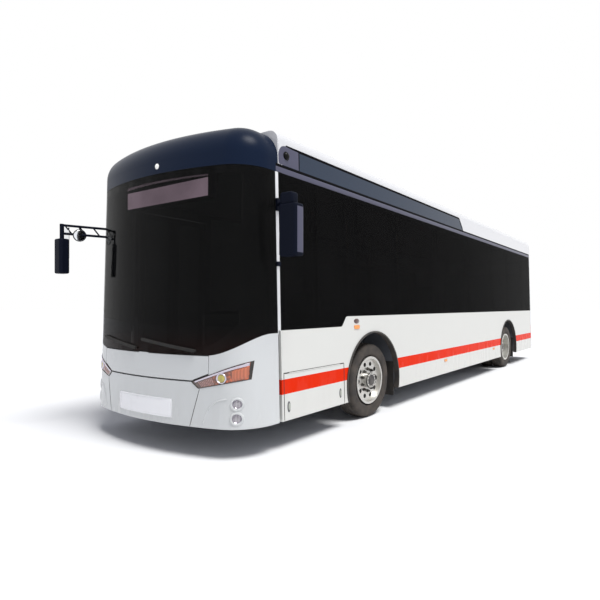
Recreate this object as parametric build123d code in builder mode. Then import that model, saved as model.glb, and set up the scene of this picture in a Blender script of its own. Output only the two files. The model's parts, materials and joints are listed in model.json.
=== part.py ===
from build123d import *

import os
from math import copysign, cos, radians, sin, sqrt, tan

os.makedirs("parts", exist_ok=True)

# A low-floor electric city bus. +X is forward, +Y is the driver's side, +Z is up.
# The origin is on the ground at mid-length. Stations are distances behind the front.

# Body envelope
LENGTH = 10490.0
WIDTH = 2500.0
SKIRT_Z = 290.0
ROOF_Z = 3110.0
LEAN = 1.4
FRONT_BOW_R = 3600.0
FRONT_CORNER_R = 400.0
REAR_CORNER_R = 160.0
ROOF_EDGE_R = 110.0
DOME_EDGE_R = 300.0
HALF = WIDTH / 2

# Wall layers, measured inwards from the skin
WALL = 60.0
GLASS = 10.0
FAIRING = 25.0
LID = 12.0
LEAF = 45.0
SEAT = 0.3
SEAM = 8.0

# Levels
WAIST_Z = 1280.0
DRIVER_SILL_Z = 1165.0
SCREEN_Z = 950.0
BAND_TOP_Z = ROOF_Z - 420.0
CANTRAIL_Z = BAND_TOP_Z + 70.0
FAIRING_Z = ROOF_Z - 140.0
FLOOR_Z = 370.0
FLOOR_T = 60.0
REAR_DECK_Z = 760.0
BAY_DECK_Z = 1150.0
CEILING_T = 55.0

# Axle stations
FRONT_AXLE = 2340.0
REAR_OVERHANG = 2270.0
REAR_AXLE = LENGTH - REAR_OVERHANG

# Other stations behind the front
PILLAR = 600.0
PILLAR_W = 40.0
DRIVER_STEP = 1650.0
DRIVER_STEP_L = 90.0
DRIVER_STEP_R = 42.0
FAIRING_END = 5500.0
FAIRING_SLANT = 180.0
FAIRING_R = 100.0
REAR_SEAM = LENGTH - 200.0
DECK_STEP = REAR_AXLE - 1470.0
BAY_STEP = LENGTH - 1340.0
FLOOR_FRONT = 330.0
FLOOR_REAR = LENGTH - 90.0
CEILING_FRONT = 250.0

# Tyres, rims and wheel wells
TYRE_R = 464.0
TYRE_W = 255.0
BEAD_R = 298.0
TWIN_PITCH = 290.0
TYRE_INSET = 70.0
# Tyre half-section: radius as a share of the sidewall height, half-width as a share of the width
TYRE_SECTION = ((0.0, 0.41), (0.46, 0.5), (0.86, 0.47), (1.0, 0.38))
RIM_HALF = 120.0
RIM_T = 28.0
DISC_T = 18.0
FRONT_DISC = 62.0
REAR_DISC = -150.0
HUB_R = 92.0
FRONT_HUB = (20.0, 125.0)
REAR_HUB = (-190.0, 40.0)
CAP_T = 14.0
HAND_HOLES = 10
HAND_HOLE_R = 28.0
HAND_HOLE_PITCH_R = 205.0
STUB_R = 45.0
BEARING = 0.5
ARCH_R = 600.0
LIP = 20.0
LIP_PROUD = 12.0
WELL_X = 600.0
BOX_T = 20.0
FRONT_WELL_Y = HALF - 710.0
REAR_WELL_Y = HALF - 660.0
NOTCH_X = 240.0
NOTCH_Z = TYRE_R + 190.0
MUDFLAP_T = 6.0
MUDFLAP_W = 250.0
MUDFLAP_Z = (180.0, 640.0)

# Steering pivots and front axle beam
KINGPIN_INSET = 93.0
KINGPIN_R = 26.0
EYE_R = 55.0
EYE_H = 160.0
LUG_T = 36.0
LUG_GAP = 6.0
PLATE = (70.0, 100.0)
PLATE_HALF = 60.0
BEAM_X = 100.0
BEAM_H = 85.0
BEAM_Z = FLOOR_Z - FLOOR_T - BEAM_H
BEAM_DROP_Y = FRONT_WELL_Y + BEAM_H

# Side panes. The driver's panes end at these stations; the others divide what is left.
PANE_FIRST = PILLAR + PILLAR_W
DRIVER_PANES = (1195.0, 1720.0, 2000.0)
PANE_BREAK = 2940.0
TAIL_PANES = (REAR_AXLE - 1100.0, REAR_AXLE, REAR_AXLE + 1220.0, REAR_SEAM)
LEFT_BAYS = 3
RIGHT_BAYS = 2
PANE_GAP = 6.0
PANE_EDGE = 48.0
PANE_R = 40.0

# Kerb-side doors: name, front station, rear station
MID_DOOR = (FRONT_AXLE + REAR_AXLE) / 2 + 215.0
MID_DOOR_HALF = 600.0
DOORS = (
    ("front_door", 690.0, 1685.0),
    ("middle_door", MID_DOOR - MID_DOOR_HALF, MID_DOOR + MID_DOOR_HALF),
)
DOOR_POST = 15.0
DOOR_TOP_Z = BAND_TOP_Z - 130.0
LEAF_GAP = 20.0
LEAF_MEET = 16.0
HINGE_IN = 15.0
SILL_CLEAR = 26.0
STILE = 70.0
PIVOT_R = 10.0
PIVOT_DEEP = 20.0
PIVOT_CLEAR = 0.6

# Service flap behind the front corner, and the pins that lids hang on
FLAP_FROM = 675.0
FLAP_TO = 1665.0
FLAP_TOP_Z = 750.0
PIN_R = 4.7

# Front face, as distances in from the sides and heights
SCREEN_HALF = HALF - 400.0
SCREEN_RIM = 70.0
SCREEN_SWEEP_R = 624.0
HOOD_HALF = HALF - 420.0
HOOD_Z = 700.0
HOOD_GAP = 14.0
BUMPER_FOOT = HALF - 610.0
BUMPER_HEAD = HALF - 510.0
# Headlamp outline: distance in from the side, height
LAMP_CORNERS = ((600.0, 700.0), (60.0, 905.0), (70.0, 735.0), (520.0, 642.0))
LAMP_R = 14.0
FOG_R = 42.0
FOG_Y = HALF - 160.0
FOG_LEVELS = (515.0, 385.0)
FOG_SUNK = 14.0
WIPER_T = 24.0
WIPER_HALF = 13.0
# Wipers lying on the glass: pivot and tip across and up the front
WIPERS = (
    ((-120.0, SCREEN_Z + 35.0), (420.0 - HALF, SCREEN_Z + 125.0)),
    ((HALF - 550.0, SCREEN_Z + 35.0), (-20.0, SCREEN_Z + 125.0)),
)

# Rear face
REAR_GLASS_HALF = HALF - 290.0
REAR_GLASS_Z = (1480.0, BAND_TOP_Z - 90.0)
REAR_RIM = 60.0
HATCH_HALF = HALF - 270.0
HATCH_Z = (430.0, 1140.0)
LOUVRE = (640.0, 20.0)
LOUVRE_PITCH = 46.0
LOUVRE_ROWS = 9
LOUVRE_Z = 830.0
LOUVRE_Y = 400.0
TAIL_Y = HALF - 240.0
TAIL_Z = (520.0, 880.0)

# Side marker lamps: station, height
MARKERS = ((1950.0, 1150.0), (4580.0, 505.0), (REAR_AXLE - 1100.0, 505.0))
MARKER = (110.0, 46.0)
MARKER_T = 8.0

# Chassis at the rear, motor, batteries and jacking pads
RAIL_GAP = 215.0
RAIL_W = 90.0
RAIL_Z = (SKIRT_Z, SKIRT_Z + 70.0)
RAIL_END = 2.0
AXLE_TUBE_R = 72.0
DIFF_R = 165.0
DIFF_HALF = 150.0
PAD_X = 150.0
MOTOR_R = 150.0
MOTOR_L = 560.0
MOTOR_GAP = 60.0
CRADLE_T = 40.0
PACK_X = (LENGTH - 1190.0, LENGTH - 160.0)
PACK_HALF = HALF - 470.0
PACK_TOP_Z = BAY_DECK_Z - FLOOR_T - 30.0
ROOF_PACK = (2500.0, LENGTH - 2890.0)
ROOF_PACK_HALF = HALF - 430.0
ROOF_PACK_CLEAR = 25.0
ROOF_PACK_H = ROOF_Z - BAND_TOP_Z - CEILING_T - WALL - ROOF_PACK_CLEAR
JACK_PAD = 140.0
JACK_Z = SKIRT_Z - 20.0
FRONT_JACK = FRONT_AXLE + 1405.0
FRONT_JACK_Y = HALF - 650.0
REAR_JACK = LENGTH - 945.0

# Destination sign box and driver's place
SIGN_HALF = HALF - 560.0
SIGN_H = 250.0
SIGN_X = (250.0, 330.0)
DASH_AT = 585.0
DASH_Z = 930.0
CONSOLE_AT = 860.0
CONSOLE_Y = (HALF - 950.0, HALF - 130.0)
CONSOLE_Z = 740.0
DRIVER_Y = HALF - 560.0
COLUMN_R = 32.0
COLUMN_L = 260.0
HELM_AT = 975.0
HELM_Z = 1090.0
HELM_R = 225.0
HELM_GRIP_R = 15.0
SPOKE_R = 12.0
HELM_HUB_R = 55.0
HELM_HUB_T = 40.0

# Seats
CUSHION_Z = 370.0
CUSHION_T = 95.0
CUSHION_L = 440.0
CUSHION_R = 30.0
BACK_H = 720.0
BACK_T = 75.0
BACK_TILT = 90.0
PEDESTAL_L = 170.0
SEAT_W = 820.0
SEAT_PITCH = 750.0
WALL_GAP = 45.0
AISLE_GAP = 35.0
FIRST_LEFT_SEAT = 3950.0
FIRST_RIGHT_SEAT = 3700.0
DECK_SEAT = REAR_AXLE - 770.0
BENCH_AT = LENGTH - 540.0
BENCH_HEADROOM = 450.0
BENCH_GAP = 110.0
STEP_ROOM = 550.0
DOOR_ROOM = 445.0
DRIVER_SEAT_AT = 1640.0
DRIVER_SEAT_W = 520.0
DRIVER_SEAT_LIFT = 120.0

# Grab poles and rails
POLE_R = 17.0
RAIL_HEIGHT = BAND_TOP_Z - 640.0
POLES = (3100.0, MID_DOOR - MID_DOOR_HALF - 245.0, DECK_STEP - 500.0)

# Mirrors
BRACKET_T = 22.0
ARM_R = 14.0
BRACE_R = 8.0
LEFT_ARM_R = 17.0
POST_R = 22.4
RIGHT_BRACKET_Z = (BAND_TOP_Z - 510.0, BAND_TOP_Z - 350.0)
LEFT_BRACKET_Z = (BAND_TOP_Z - 380.0, BAND_TOP_Z - 260.0)
RIGHT_ELBOW_AT = -10.0
RIGHT_ELBOW_OUT = 290.0
RIGHT_ELBOW_Z = BAND_TOP_Z - 360.0
TRUSS_DROP = 95.0
TRUSS_BAYS = 5
RIGHT_HEAD = (110.0, 150.0, 400.0)
LEFT_HEAD_AT = 490.0
LEFT_HEAD_OUT = 240.0
LEFT_HEAD_Z = BAND_TOP_Z - 605.0
LEFT_HEAD = (120.0, 215.0, 470.0)
HEAD_R = 32.0
HEAD_EDGE_R = 18.0

# Towing eyes
EYE_BORE_R = 22.0
EYE_T = 30.0
EYE_EDGE = 40.0
EYE_Z = SKIRT_Z - EYE_EDGE
EYE_LUG_L = 160.0
FRONT_EYE_AT = 480.0
REAR_EYE_AT = LENGTH - 310.0


def at(station):
    """X of a station behind the front."""
    return LENGTH / 2 - station


def skin_y(z, inset=0.0):
    """Half-width of the body at a height, inside a layer."""
    return WIDTH / 2 - inset - (z - SKIRT_Z) * tan(radians(LEAN))


def body_form(inset, top_z, edge_r):
    """Body envelope: the plan outline drawn up with the lean of the walls."""
    bow = Vector(LENGTH / 2 - FRONT_BOW_R, 0)
    corner_y = WIDTH / 2 - FRONT_CORNER_R
    corner = Vector(bow.X + sqrt((FRONT_BOW_R - FRONT_CORNER_R) ** 2 - corner_y**2), corner_y)
    out = (corner - bow).normalized()
    meet = bow + out * (FRONT_BOW_R - inset)
    turn = (out + Vector(0, 1)).normalized()
    side_y = WIDTH / 2 - inset
    rear_x = -LENGTH / 2 + inset
    rear = Vector(-LENGTH / 2 + REAR_CORNER_R, WIDTH / 2 - REAR_CORNER_R)
    rear_r = REAR_CORNER_R - inset
    with BuildPart() as form:
        with BuildSketch(Plane.XY.offset(SKIRT_Z)):
            with BuildLine():
                half_way = bow + (out + Vector(1, 0)).normalized() * (FRONT_BOW_R - inset)
                ThreePointArc((LENGTH / 2 - inset, 0), half_way, meet)
                ThreePointArc(meet, corner + turn * (FRONT_CORNER_R - inset), (corner.X, side_y))
                Line((corner.X, side_y), (rear.X, side_y))
                ThreePointArc((rear.X, side_y), rear + Vector(-1, 1).normalized() * rear_r, (rear_x, rear.Y))
                Line((rear_x, rear.Y), (rear_x, 0))
                mirror(about=Plane.XZ)
            make_face()
        extrude(amount=top_z - SKIRT_Z, taper=LEAN)
        if edge_r:
            fillet(form.faces().sort_by(Axis.Z)[-1].edges(), edge_r)
    return form.part


def layer(outer, inner, top_z=ROOF_Z, edge_r=ROOF_EDGE_R):
    """Shell between two insets of the body envelope."""
    rim = max(edge_r - max(outer, 0), 0)
    core = max(edge_r - inner, 0)
    with BuildPart() as shell:
        add(body_form(outer, top_z - max(outer, 0), rim))
        add(body_form(inner, top_z - inner, core), mode=Mode.SUBTRACT)
    return shell.part


wall = layer(0, WALL)
glass_layer = layer(0, GLASS)
frame_layer = layer(GLASS, WALL)
cabin = body_form(WALL + SEAT, ROOF_Z - WALL - SEAT, 0)
dome_layer = layer(0, WALL, ROOF_Z, DOME_EDGE_R)


def span(x0, x1, z0, z1, radius=0.0):
    """Rectangle of the current sketch, given by its corners."""
    with Locations(((x0 + x1) / 2, (z0 + z1) / 2)):
        if radius:
            RectangleRounded(abs(x1 - x0), z1 - z0, radius)
        else:
            Rectangle(abs(x1 - x0), z1 - z0)


def towards(side):
    """Signed length of a cut drawn on the centre plane, towards one side."""
    return -side * WIDTH


def save(piece, name):
    """Label a finished piece and write it."""
    piece.part.label = name
    export_step(piece.part, f"parts/{name}.step")


def rod(start, end, radius):
    """Round bar from one point to another."""
    run = Vector(end) - Vector(start)
    with BuildPart() as bar:
        with BuildSketch(Plane(origin=start, z_dir=run)):
            Circle(radius)
        extrude(amount=run.length)
    return bar.part


band_front = at(PANE_FIRST)
band_rear = at(REAR_SEAM)
front_cut = at(PILLAR)


def divide(start, end, bays):
    """Stations that divide a stretch into equal bays, with its end."""
    return tuple(start + (end - start) * bay / bays for bay in range(1, bays + 1))


mid_front = MID_DOOR - MID_DOOR_HALF - DOOR_POST
mid_rear = MID_DOOR + MID_DOOR_HALF + DOOR_POST
LEFT_PANES = (
    PANE_FIRST, *DRIVER_PANES, PANE_BREAK, *divide(PANE_BREAK, TAIL_PANES[0], LEFT_BAYS), *TAIL_PANES[1:]
)
RIGHT_PANES = (
    DRIVER_PANES[1], PANE_BREAK, *divide(PANE_BREAK, mid_front, RIGHT_BAYS), mid_rear, *TAIL_PANES
)


def draw_band():
    """Outline of the glazed band on the driver's side, with its swept-down front sill."""
    with BuildSketch() as band:
        Polygon(
            (band_front, DRIVER_SILL_Z),
            (band_front, BAND_TOP_Z),
            (band_rear, BAND_TOP_Z),
            (band_rear, WAIST_Z),
            (at(DRIVER_STEP + DRIVER_STEP_L), WAIST_Z),
            (at(DRIVER_STEP), DRIVER_SILL_Z),
            align=None,
        )
        step = band.vertices().filter_by_position(Axis.X, at(DRIVER_STEP + DRIVER_STEP_L), at(DRIVER_STEP))
        fillet(step, DRIVER_STEP_R)
    return band.sketch


def draw_arches(radius):
    """Discs around both axles."""
    with Locations((at(FRONT_AXLE), TYRE_R), (at(REAR_AXLE), TYRE_R)):
        Circle(radius)


def draw_doors(top_z):
    """Door openings between the sill and a level."""
    for _, front, rear in DOORS:
        span(at(rear), at(front), FLOOR_Z, top_z)


def draw_panes(edges, edge):
    """Clear window openings, set in from the edges of the panes."""
    for front, rear in zip(edges, edges[1:]):
        sill = DRIVER_SILL_Z if rear < DRIVER_STEP else WAIST_Z
        clear = all(rear <= door_front or front >= door_rear for _, door_front, door_rear in DOORS)
        if clear or edges is LEFT_PANES:
            width = rear - front - 2 * edge
            span(at(rear) + edge, at(front) - edge, sill + edge, BAND_TOP_Z - edge, min(PANE_R, width / 3))


# Side walls below the glass
with BuildPart() as left_side:
    add(wall)
    with BuildSketch(Plane.XZ):
        span(band_rear, band_front, SKIRT_Z, WAIST_Z)
    extrude(amount=towards(1), mode=Mode.INTERSECT)
    with BuildSketch(Plane.XZ):
        add(draw_band())
        draw_arches(ARCH_R + LIP)
        span(at(FLAP_TO) - SEAM, at(FLAP_FROM) + SEAM, SKIRT_Z - SEAM, FLAP_TOP_Z)
    extrude(amount=towards(1), mode=Mode.SUBTRACT)
save(left_side, "left_side")

with BuildPart() as right_side:
    add(wall)
    with BuildSketch(Plane.XZ):
        span(band_rear, band_front, SKIRT_Z, WAIST_Z)
    extrude(amount=towards(-1), mode=Mode.INTERSECT)
    with BuildSketch(Plane.XZ):
        draw_arches(ARCH_R + LIP)
        draw_doors(BAND_TOP_Z)
    extrude(amount=towards(-1), mode=Mode.SUBTRACT)
save(right_side, "right_side")

# Service flap, hung on a pin along its top edge
with BuildPart() as left_flap:
    add(layer(0, LID * 2))
    with BuildSketch(Plane.XZ):
        span(at(FLAP_TO), at(FLAP_FROM), SKIRT_Z, FLAP_TOP_Z - SEAM)
    extrude(amount=towards(1), mode=Mode.INTERSECT)
    pin_z = FLAP_TOP_Z - PIN_R - SEAT
    pin_y = skin_y(pin_z)
    add(rod((at(FLAP_TO) + STILE, pin_y, pin_z), (at(FLAP_FROM) - STILE, pin_y, pin_z), PIN_R))
save(left_flap, "left_flap")

# Window frames with the cantrail above them
with BuildPart() as cantrails:
    add(wall)
    with BuildSketch(Plane.XZ):
        span(band_rear, band_front, BAND_TOP_Z, CANTRAIL_Z)
    extrude(amount=WIDTH, both=True, mode=Mode.INTERSECT)

with BuildPart() as left_frame:
    add(frame_layer)
    with BuildSketch(Plane.XZ):
        add(draw_band())
    extrude(amount=towards(1), mode=Mode.INTERSECT)
    with BuildSketch(Plane.XZ):
        draw_panes(LEFT_PANES, PANE_EDGE)
    extrude(amount=towards(1), mode=Mode.SUBTRACT)

with BuildPart() as right_frame:
    add(frame_layer)
    with BuildSketch(Plane.XZ):
        span(band_rear, band_front, WAIST_Z, BAND_TOP_Z)
    extrude(amount=towards(-1), mode=Mode.INTERSECT)
    with BuildSketch(Plane.XZ):
        draw_panes(RIGHT_PANES, PANE_EDGE)
        draw_doors(DOOR_TOP_Z)
    extrude(amount=towards(-1), mode=Mode.SUBTRACT)

with BuildPart() as window_frames:
    add(cantrails.part)
    add(left_frame.part)
    add(right_frame.part)
save(window_frames, "window_frames")

# Bonded side glass
with BuildPart() as left_glass:
    add(glass_layer)
    with BuildSketch(Plane.XZ):
        add(draw_band())
    extrude(amount=towards(1), mode=Mode.INTERSECT)
    with BuildSketch(Plane.XZ):
        for station in LEFT_PANES[1:-1]:
            span(at(station) - PANE_GAP / 2, at(station) + PANE_GAP / 2, SKIRT_Z, ROOF_Z)
    extrude(amount=towards(1), mode=Mode.SUBTRACT)

with BuildPart() as right_glass:
    add(glass_layer)
    with BuildSketch(Plane.XZ):
        span(band_rear, band_front, WAIST_Z, BAND_TOP_Z)
    extrude(amount=towards(-1), mode=Mode.INTERSECT)
    with BuildSketch(Plane.XZ):
        for station in RIGHT_PANES[:-1]:
            span(at(station) - PANE_GAP / 2, at(station) + PANE_GAP / 2, SKIRT_Z, ROOF_Z)
        draw_doors(DOOR_TOP_Z)
    extrude(amount=towards(-1), mode=Mode.SUBTRACT)

with BuildPart() as side_glass:
    add(left_glass.part)
    add(right_glass.part)
save(side_glass, "side_glass")

# Roof, its coloured side fairings and the front dome
fairing_layer = layer(0, FAIRING)


def make_fairing(side):
    """Flush roof fairing of one side with a slanted tail."""
    with BuildPart() as fairing:
        add(fairing_layer)
        with BuildSketch(Plane.XZ) as outline:
            Polygon(
                (band_front - SEAM, CANTRAIL_Z + SEAM),
                (at(FAIRING_END), CANTRAIL_Z + SEAM),
                (at(FAIRING_END - FAIRING_SLANT), FAIRING_Z),
                (band_front - SEAM, FAIRING_Z),
                align=None,
            )
            fillet(outline.vertices().group_by(Axis.X)[-1].sort_by(Axis.Z)[-1], FAIRING_R)
        extrude(amount=towards(side), mode=Mode.INTERSECT)
    return fairing


with BuildPart() as roof_fairings:
    add(make_fairing(1).part)
    add(make_fairing(-1).part)
save(roof_fairings, "roof_fairings")

with BuildPart() as roof_end:
    add(body_form(0, ROOF_Z, ROOF_EDGE_R))
    with BuildSketch(Plane.XZ):
        span(band_front - WALL, band_front, CANTRAIL_Z, ROOF_Z)
    extrude(amount=WIDTH, both=True, mode=Mode.INTERSECT)

with BuildPart() as roof_panel:
    add(wall)
    with BuildSketch(Plane.XZ):
        span(-LENGTH / 2, band_front - WALL, CANTRAIL_Z, ROOF_Z)
    extrude(amount=WIDTH, both=True, mode=Mode.INTERSECT)
    add(roof_end.part)
    add(roof_fairings.part, mode=Mode.SUBTRACT)
save(roof_panel, "roof_panel")

with BuildPart() as front_dome:
    add(dome_layer)
    with BuildSketch(Plane.XZ):
        span(band_front, LENGTH / 2, BAND_TOP_Z, ROOF_Z)
    extrude(amount=WIDTH, both=True, mode=Mode.INTERSECT)
save(front_dome, "front_dome")

# Front face. Its openings are drawn on a cross plane at the front pillars and carried forwards.
front_plane = Plane.YZ.offset(front_cut)
FRONT_REACH = PILLAR + PILLAR_W


def draw_screen(rim):
    """Windscreen outline with its lower edge swept up at the corners, set in by a rim."""
    side = WIDTH / 2 if rim == 0 else skin_y(DRIVER_SILL_Z) - 2 * rim
    low = SCREEN_Z + rim
    turn = DRIVER_SILL_Z + rim
    with BuildSketch() as outline:
        with BuildLine():
            top = Line((-side, BAND_TOP_Z - rim), (side, BAND_TOP_Z - rim))
            Line(top @ 1, (side, turn))
            RadiusArc((side, turn), (SCREEN_HALF - rim, low), SCREEN_SWEEP_R)
            Line((SCREEN_HALF - rim, low), (rim - SCREEN_HALF, low))
            RadiusArc((rim - SCREEN_HALF, low), (-side, turn), SCREEN_SWEEP_R)
            Line((-side, turn), top @ 0)
        make_face()
    return outline.sketch


def draw_lamp(side, grow):
    """Swept headlamp outline of one side, with rounded corners."""
    with BuildSketch() as outline:
        with BuildLine():
            Polyline(*[(side * (HALF - inward), z) for inward, z in LAMP_CORNERS], close=True)
        make_face()
        fillet(outline.vertices(), LAMP_R)
        if grow:
            offset(amount=grow)
    return outline.sketch


def draw_bumper():
    """Centre bumper outline between its two slanted seams."""
    foot = ((-BUMPER_FOOT, SKIRT_Z), (BUMPER_FOOT, SKIRT_Z))
    head = ((BUMPER_HEAD, HOOD_Z), (-BUMPER_HEAD, HOOD_Z))
    Polygon(*foot, *head, align=None)


with BuildPart() as windscreen:
    add(glass_layer)
    with BuildSketch(front_plane):
        add(draw_screen(0))
    extrude(amount=FRONT_REACH, mode=Mode.INTERSECT)
save(windscreen, "windscreen")

with BuildPart() as pillar_strips:
    add(wall)
    with BuildSketch(Plane.XZ):
        span(band_front, front_cut, DRIVER_SILL_Z, BAND_TOP_Z)
    extrude(amount=WIDTH, both=True, mode=Mode.INTERSECT)

with BuildPart() as front_frame:
    add(frame_layer)
    with BuildSketch(front_plane.offset(-PILLAR_W / 2)):
        add(draw_screen(0))
    extrude(amount=FRONT_REACH, mode=Mode.INTERSECT)
    with BuildSketch(front_plane):
        add(draw_screen(SCREEN_RIM))
    extrude(amount=FRONT_REACH, mode=Mode.SUBTRACT)
    add(pillar_strips.part)
save(front_frame, "front_frame")

with BuildPart() as front_corners:
    add(wall)
    with BuildSketch(front_plane):
        span(-WIDTH / 2, WIDTH / 2, SKIRT_Z, DRIVER_SILL_Z)
        add(draw_screen(0), mode=Mode.SUBTRACT)
    extrude(amount=FRONT_REACH, mode=Mode.INTERSECT)
    with BuildSketch(front_plane):
        draw_bumper()
        span(-HOOD_HALF - SEAM, HOOD_HALF + SEAM, HOOD_Z, SCREEN_Z)
        for side in (1, -1):
            add(draw_lamp(side, SEAT))
            with Locations(*[(side * FOG_Y, z) for z in FOG_LEVELS]):
                Circle(FOG_R)
    extrude(amount=FRONT_REACH, mode=Mode.SUBTRACT)
save(front_corners, "front_corners")

with BuildPart() as bumper:
    add(wall)
    with BuildSketch(front_plane):
        draw_bumper()
        for side in (1, -1):
            add(draw_lamp(side, SEAT), mode=Mode.SUBTRACT)
    extrude(amount=FRONT_REACH, mode=Mode.INTERSECT)
save(bumper, "bumper")

# Hood over the wiper gear, hung on a pin along its top edge
with BuildPart() as hood:
    add(layer(0, LID))
    with BuildSketch(front_plane):
        span(-HOOD_HALF, HOOD_HALF, HOOD_Z + HOOD_GAP, SCREEN_Z - SEAM)
        for side in (1, -1):
            add(draw_lamp(side, HOOD_GAP), mode=Mode.SUBTRACT)
    extrude(amount=FRONT_REACH, mode=Mode.INTERSECT)
    hood_pin_z = SCREEN_Z - PIN_R - SEAT
    hood_pin_x = skin_y(hood_pin_z) + (LENGTH - WIDTH) / 2
    add(rod((hood_pin_x, -STILE, hood_pin_z), (hood_pin_x, STILE, hood_pin_z), PIN_R))
save(hood, "hood")

with BuildPart() as fog_lamps:
    add(layer(FOG_SUNK, WALL))
    with BuildSketch(front_plane):
        for side in (1, -1):
            with Locations(*[(side * FOG_Y, z) for z in FOG_LEVELS]):
                Circle(FOG_R - SEAT)
    extrude(amount=FRONT_REACH, mode=Mode.INTERSECT)

with BuildPart() as front_lamps:
    add(wall)
    with BuildSketch(front_plane):
        for side in (1, -1):
            add(draw_lamp(side, 0))
    extrude(amount=FRONT_REACH, mode=Mode.INTERSECT)
    add(fog_lamps.part)
save(front_lamps, "front_lamps")

# Wiper arms and blades lying on the glass
with BuildPart() as wipers:
    add(layer(-WIPER_T, -SEAT))
    with BuildSketch(front_plane):
        for pivot, tip in WIPERS:
            run = Vector(*tip) - Vector(*pivot)
            middle = (Vector(*pivot) + Vector(*tip)) / 2
            with Locations(Location(middle, 180 - run.get_angle(Vector(-1, 0)))):
                SlotOverall(run.length, 2 * WIPER_HALF)
    extrude(amount=FRONT_REACH, mode=Mode.INTERSECT)
save(wipers, "wipers")

# Rear face
REAR_REACH = LENGTH - REAR_SEAM
rear_plane = Plane.YZ.offset(band_rear)

with BuildPart() as rear_glass:
    add(glass_layer)
    with BuildSketch(rear_plane):
        span(-REAR_GLASS_HALF, REAR_GLASS_HALF, *REAR_GLASS_Z, PANE_R)
    extrude(amount=-REAR_REACH, mode=Mode.INTERSECT)
save(rear_glass, "rear_glass")

with BuildPart() as tail_lamps:
    add(wall)
    with BuildSketch(rear_plane):
        for side in (1, -1):
            span(side * TAIL_Y, side * WIDTH / 2, *TAIL_Z)
    extrude(amount=-REAR_REACH, mode=Mode.INTERSECT)
save(tail_lamps, "tail_lamps")

with BuildPart() as rear_wall:
    add(wall)
    with BuildSketch(rear_plane):
        span(-WIDTH / 2, WIDTH / 2, SKIRT_Z, CANTRAIL_Z)
    extrude(amount=-REAR_REACH, mode=Mode.INTERSECT)
    with BuildSketch(rear_plane):
        clear = REAR_GLASS_HALF - REAR_RIM
        span(-clear, clear, REAR_GLASS_Z[0] + REAR_RIM, REAR_GLASS_Z[1] - REAR_RIM, PANE_R)
        span(-HATCH_HALF - SEAM, HATCH_HALF + SEAM, HATCH_Z[0] - SEAM, HATCH_Z[1])
    extrude(amount=-REAR_REACH, mode=Mode.SUBTRACT)
    add(rear_glass.part, mode=Mode.SUBTRACT)
    add(tail_lamps.part, mode=Mode.SUBTRACT)
save(rear_wall, "rear_wall")

with BuildPart() as rear_hatch:
    add(layer(0, LID * 2))
    with BuildSketch(rear_plane):
        span(-HATCH_HALF, HATCH_HALF, HATCH_Z[0], HATCH_Z[1] - SEAM)
    extrude(amount=-REAR_REACH, mode=Mode.INTERSECT)
    hatch_pin_z = HATCH_Z[1] - PIN_R - SEAT
    hatch_pin_x = -skin_y(hatch_pin_z) - (LENGTH - WIDTH) / 2
    pin_end = HATCH_HALF - STILE
    add(rod((hatch_pin_x, -pin_end, hatch_pin_z), (hatch_pin_x, pin_end, hatch_pin_z), PIN_R))
    with BuildSketch(rear_plane):
        with Locations((-LOUVRE_Y, LOUVRE_Z), (LOUVRE_Y, LOUVRE_Z)):
            with GridLocations(0, LOUVRE_PITCH, 1, LOUVRE_ROWS):
                SlotOverall(*LOUVRE)
    extrude(amount=-REAR_REACH, mode=Mode.SUBTRACT)
save(rear_hatch, "rear_hatch")

# Door leaves, each turning inwards on a leaning pivot at its outer edge
leaf_layer = layer(0, LEAF)
leaf_glass_layer = layer((LEAF - GLASS) / 2, (LEAF + GLASS) / 2)


def make_leaf(hinge_x, free_x):
    """Door leaf with its pane cut out and its foot pivot."""
    low = FLOOR_Z + SILL_CLEAR
    high = DOOR_TOP_Z - SEAM
    inner = sorted((hinge_x, free_x))
    axis_x = hinge_x + copysign(HINGE_IN, free_x - hinge_x)
    foot_z = FLOOR_Z + PIVOT_CLEAR
    head_z = low + PIVOT_DEEP
    with BuildPart() as leaf:
        add(leaf_layer)
        with BuildSketch(Plane.XZ):
            span(*inner, low, high)
        extrude(amount=towards(-1), mode=Mode.INTERSECT)
        with BuildSketch(Plane.XZ):
            span(inner[0] + STILE, inner[1] - STILE, low + STILE, high - STILE, PANE_R)
        extrude(amount=towards(-1), mode=Mode.SUBTRACT)
        foot = Vector(axis_x, -skin_y(foot_z, LEAF / 2), foot_z)
        head = Vector(axis_x, -skin_y(head_z, LEAF / 2), head_z)
        add(rod(foot, head, PIVOT_R))
    return leaf


def make_leaf_glass(hinge_x, free_x):
    """Pane of a door leaf."""
    low = FLOOR_Z + SILL_CLEAR + STILE + SEAT
    high = DOOR_TOP_Z - SEAM - STILE - SEAT
    inner = sorted((hinge_x, free_x))
    with BuildPart() as pane:
        add(leaf_glass_layer)
        with BuildSketch(Plane.XZ):
            span(inner[0] + STILE + SEAT, inner[1] - STILE - SEAT, low, high, PANE_R)
        extrude(amount=towards(-1), mode=Mode.INTERSECT)
    return pane


for door, front, rear in DOORS:
    meet = (front + rear) / 2
    leaves = {
        "fore": (at(front + LEAF_GAP), at(meet - LEAF_MEET / 2)),
        "aft": (at(rear - LEAF_GAP), at(meet + LEAF_MEET / 2)),
    }
    for end, (hinge_x, free_x) in leaves.items():
        save(make_leaf(hinge_x, free_x), f"{door}_{end}")
        save(make_leaf_glass(hinge_x, free_x), f"{door}_{end}_glass")

# Rubber arch lips, mud flaps and side marker lamps
with BuildPart() as arch_lips:
    add(layer(-LIP_PROUD, WALL))
    with BuildSketch(Plane.XZ):
        draw_arches(ARCH_R + LIP - SEAT)
    extrude(amount=WIDTH, both=True, mode=Mode.INTERSECT)
    with BuildSketch(Plane.XZ):
        draw_arches(ARCH_R)
    extrude(amount=WIDTH, both=True, mode=Mode.SUBTRACT)
save(arch_lips, "arch_lips")

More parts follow.
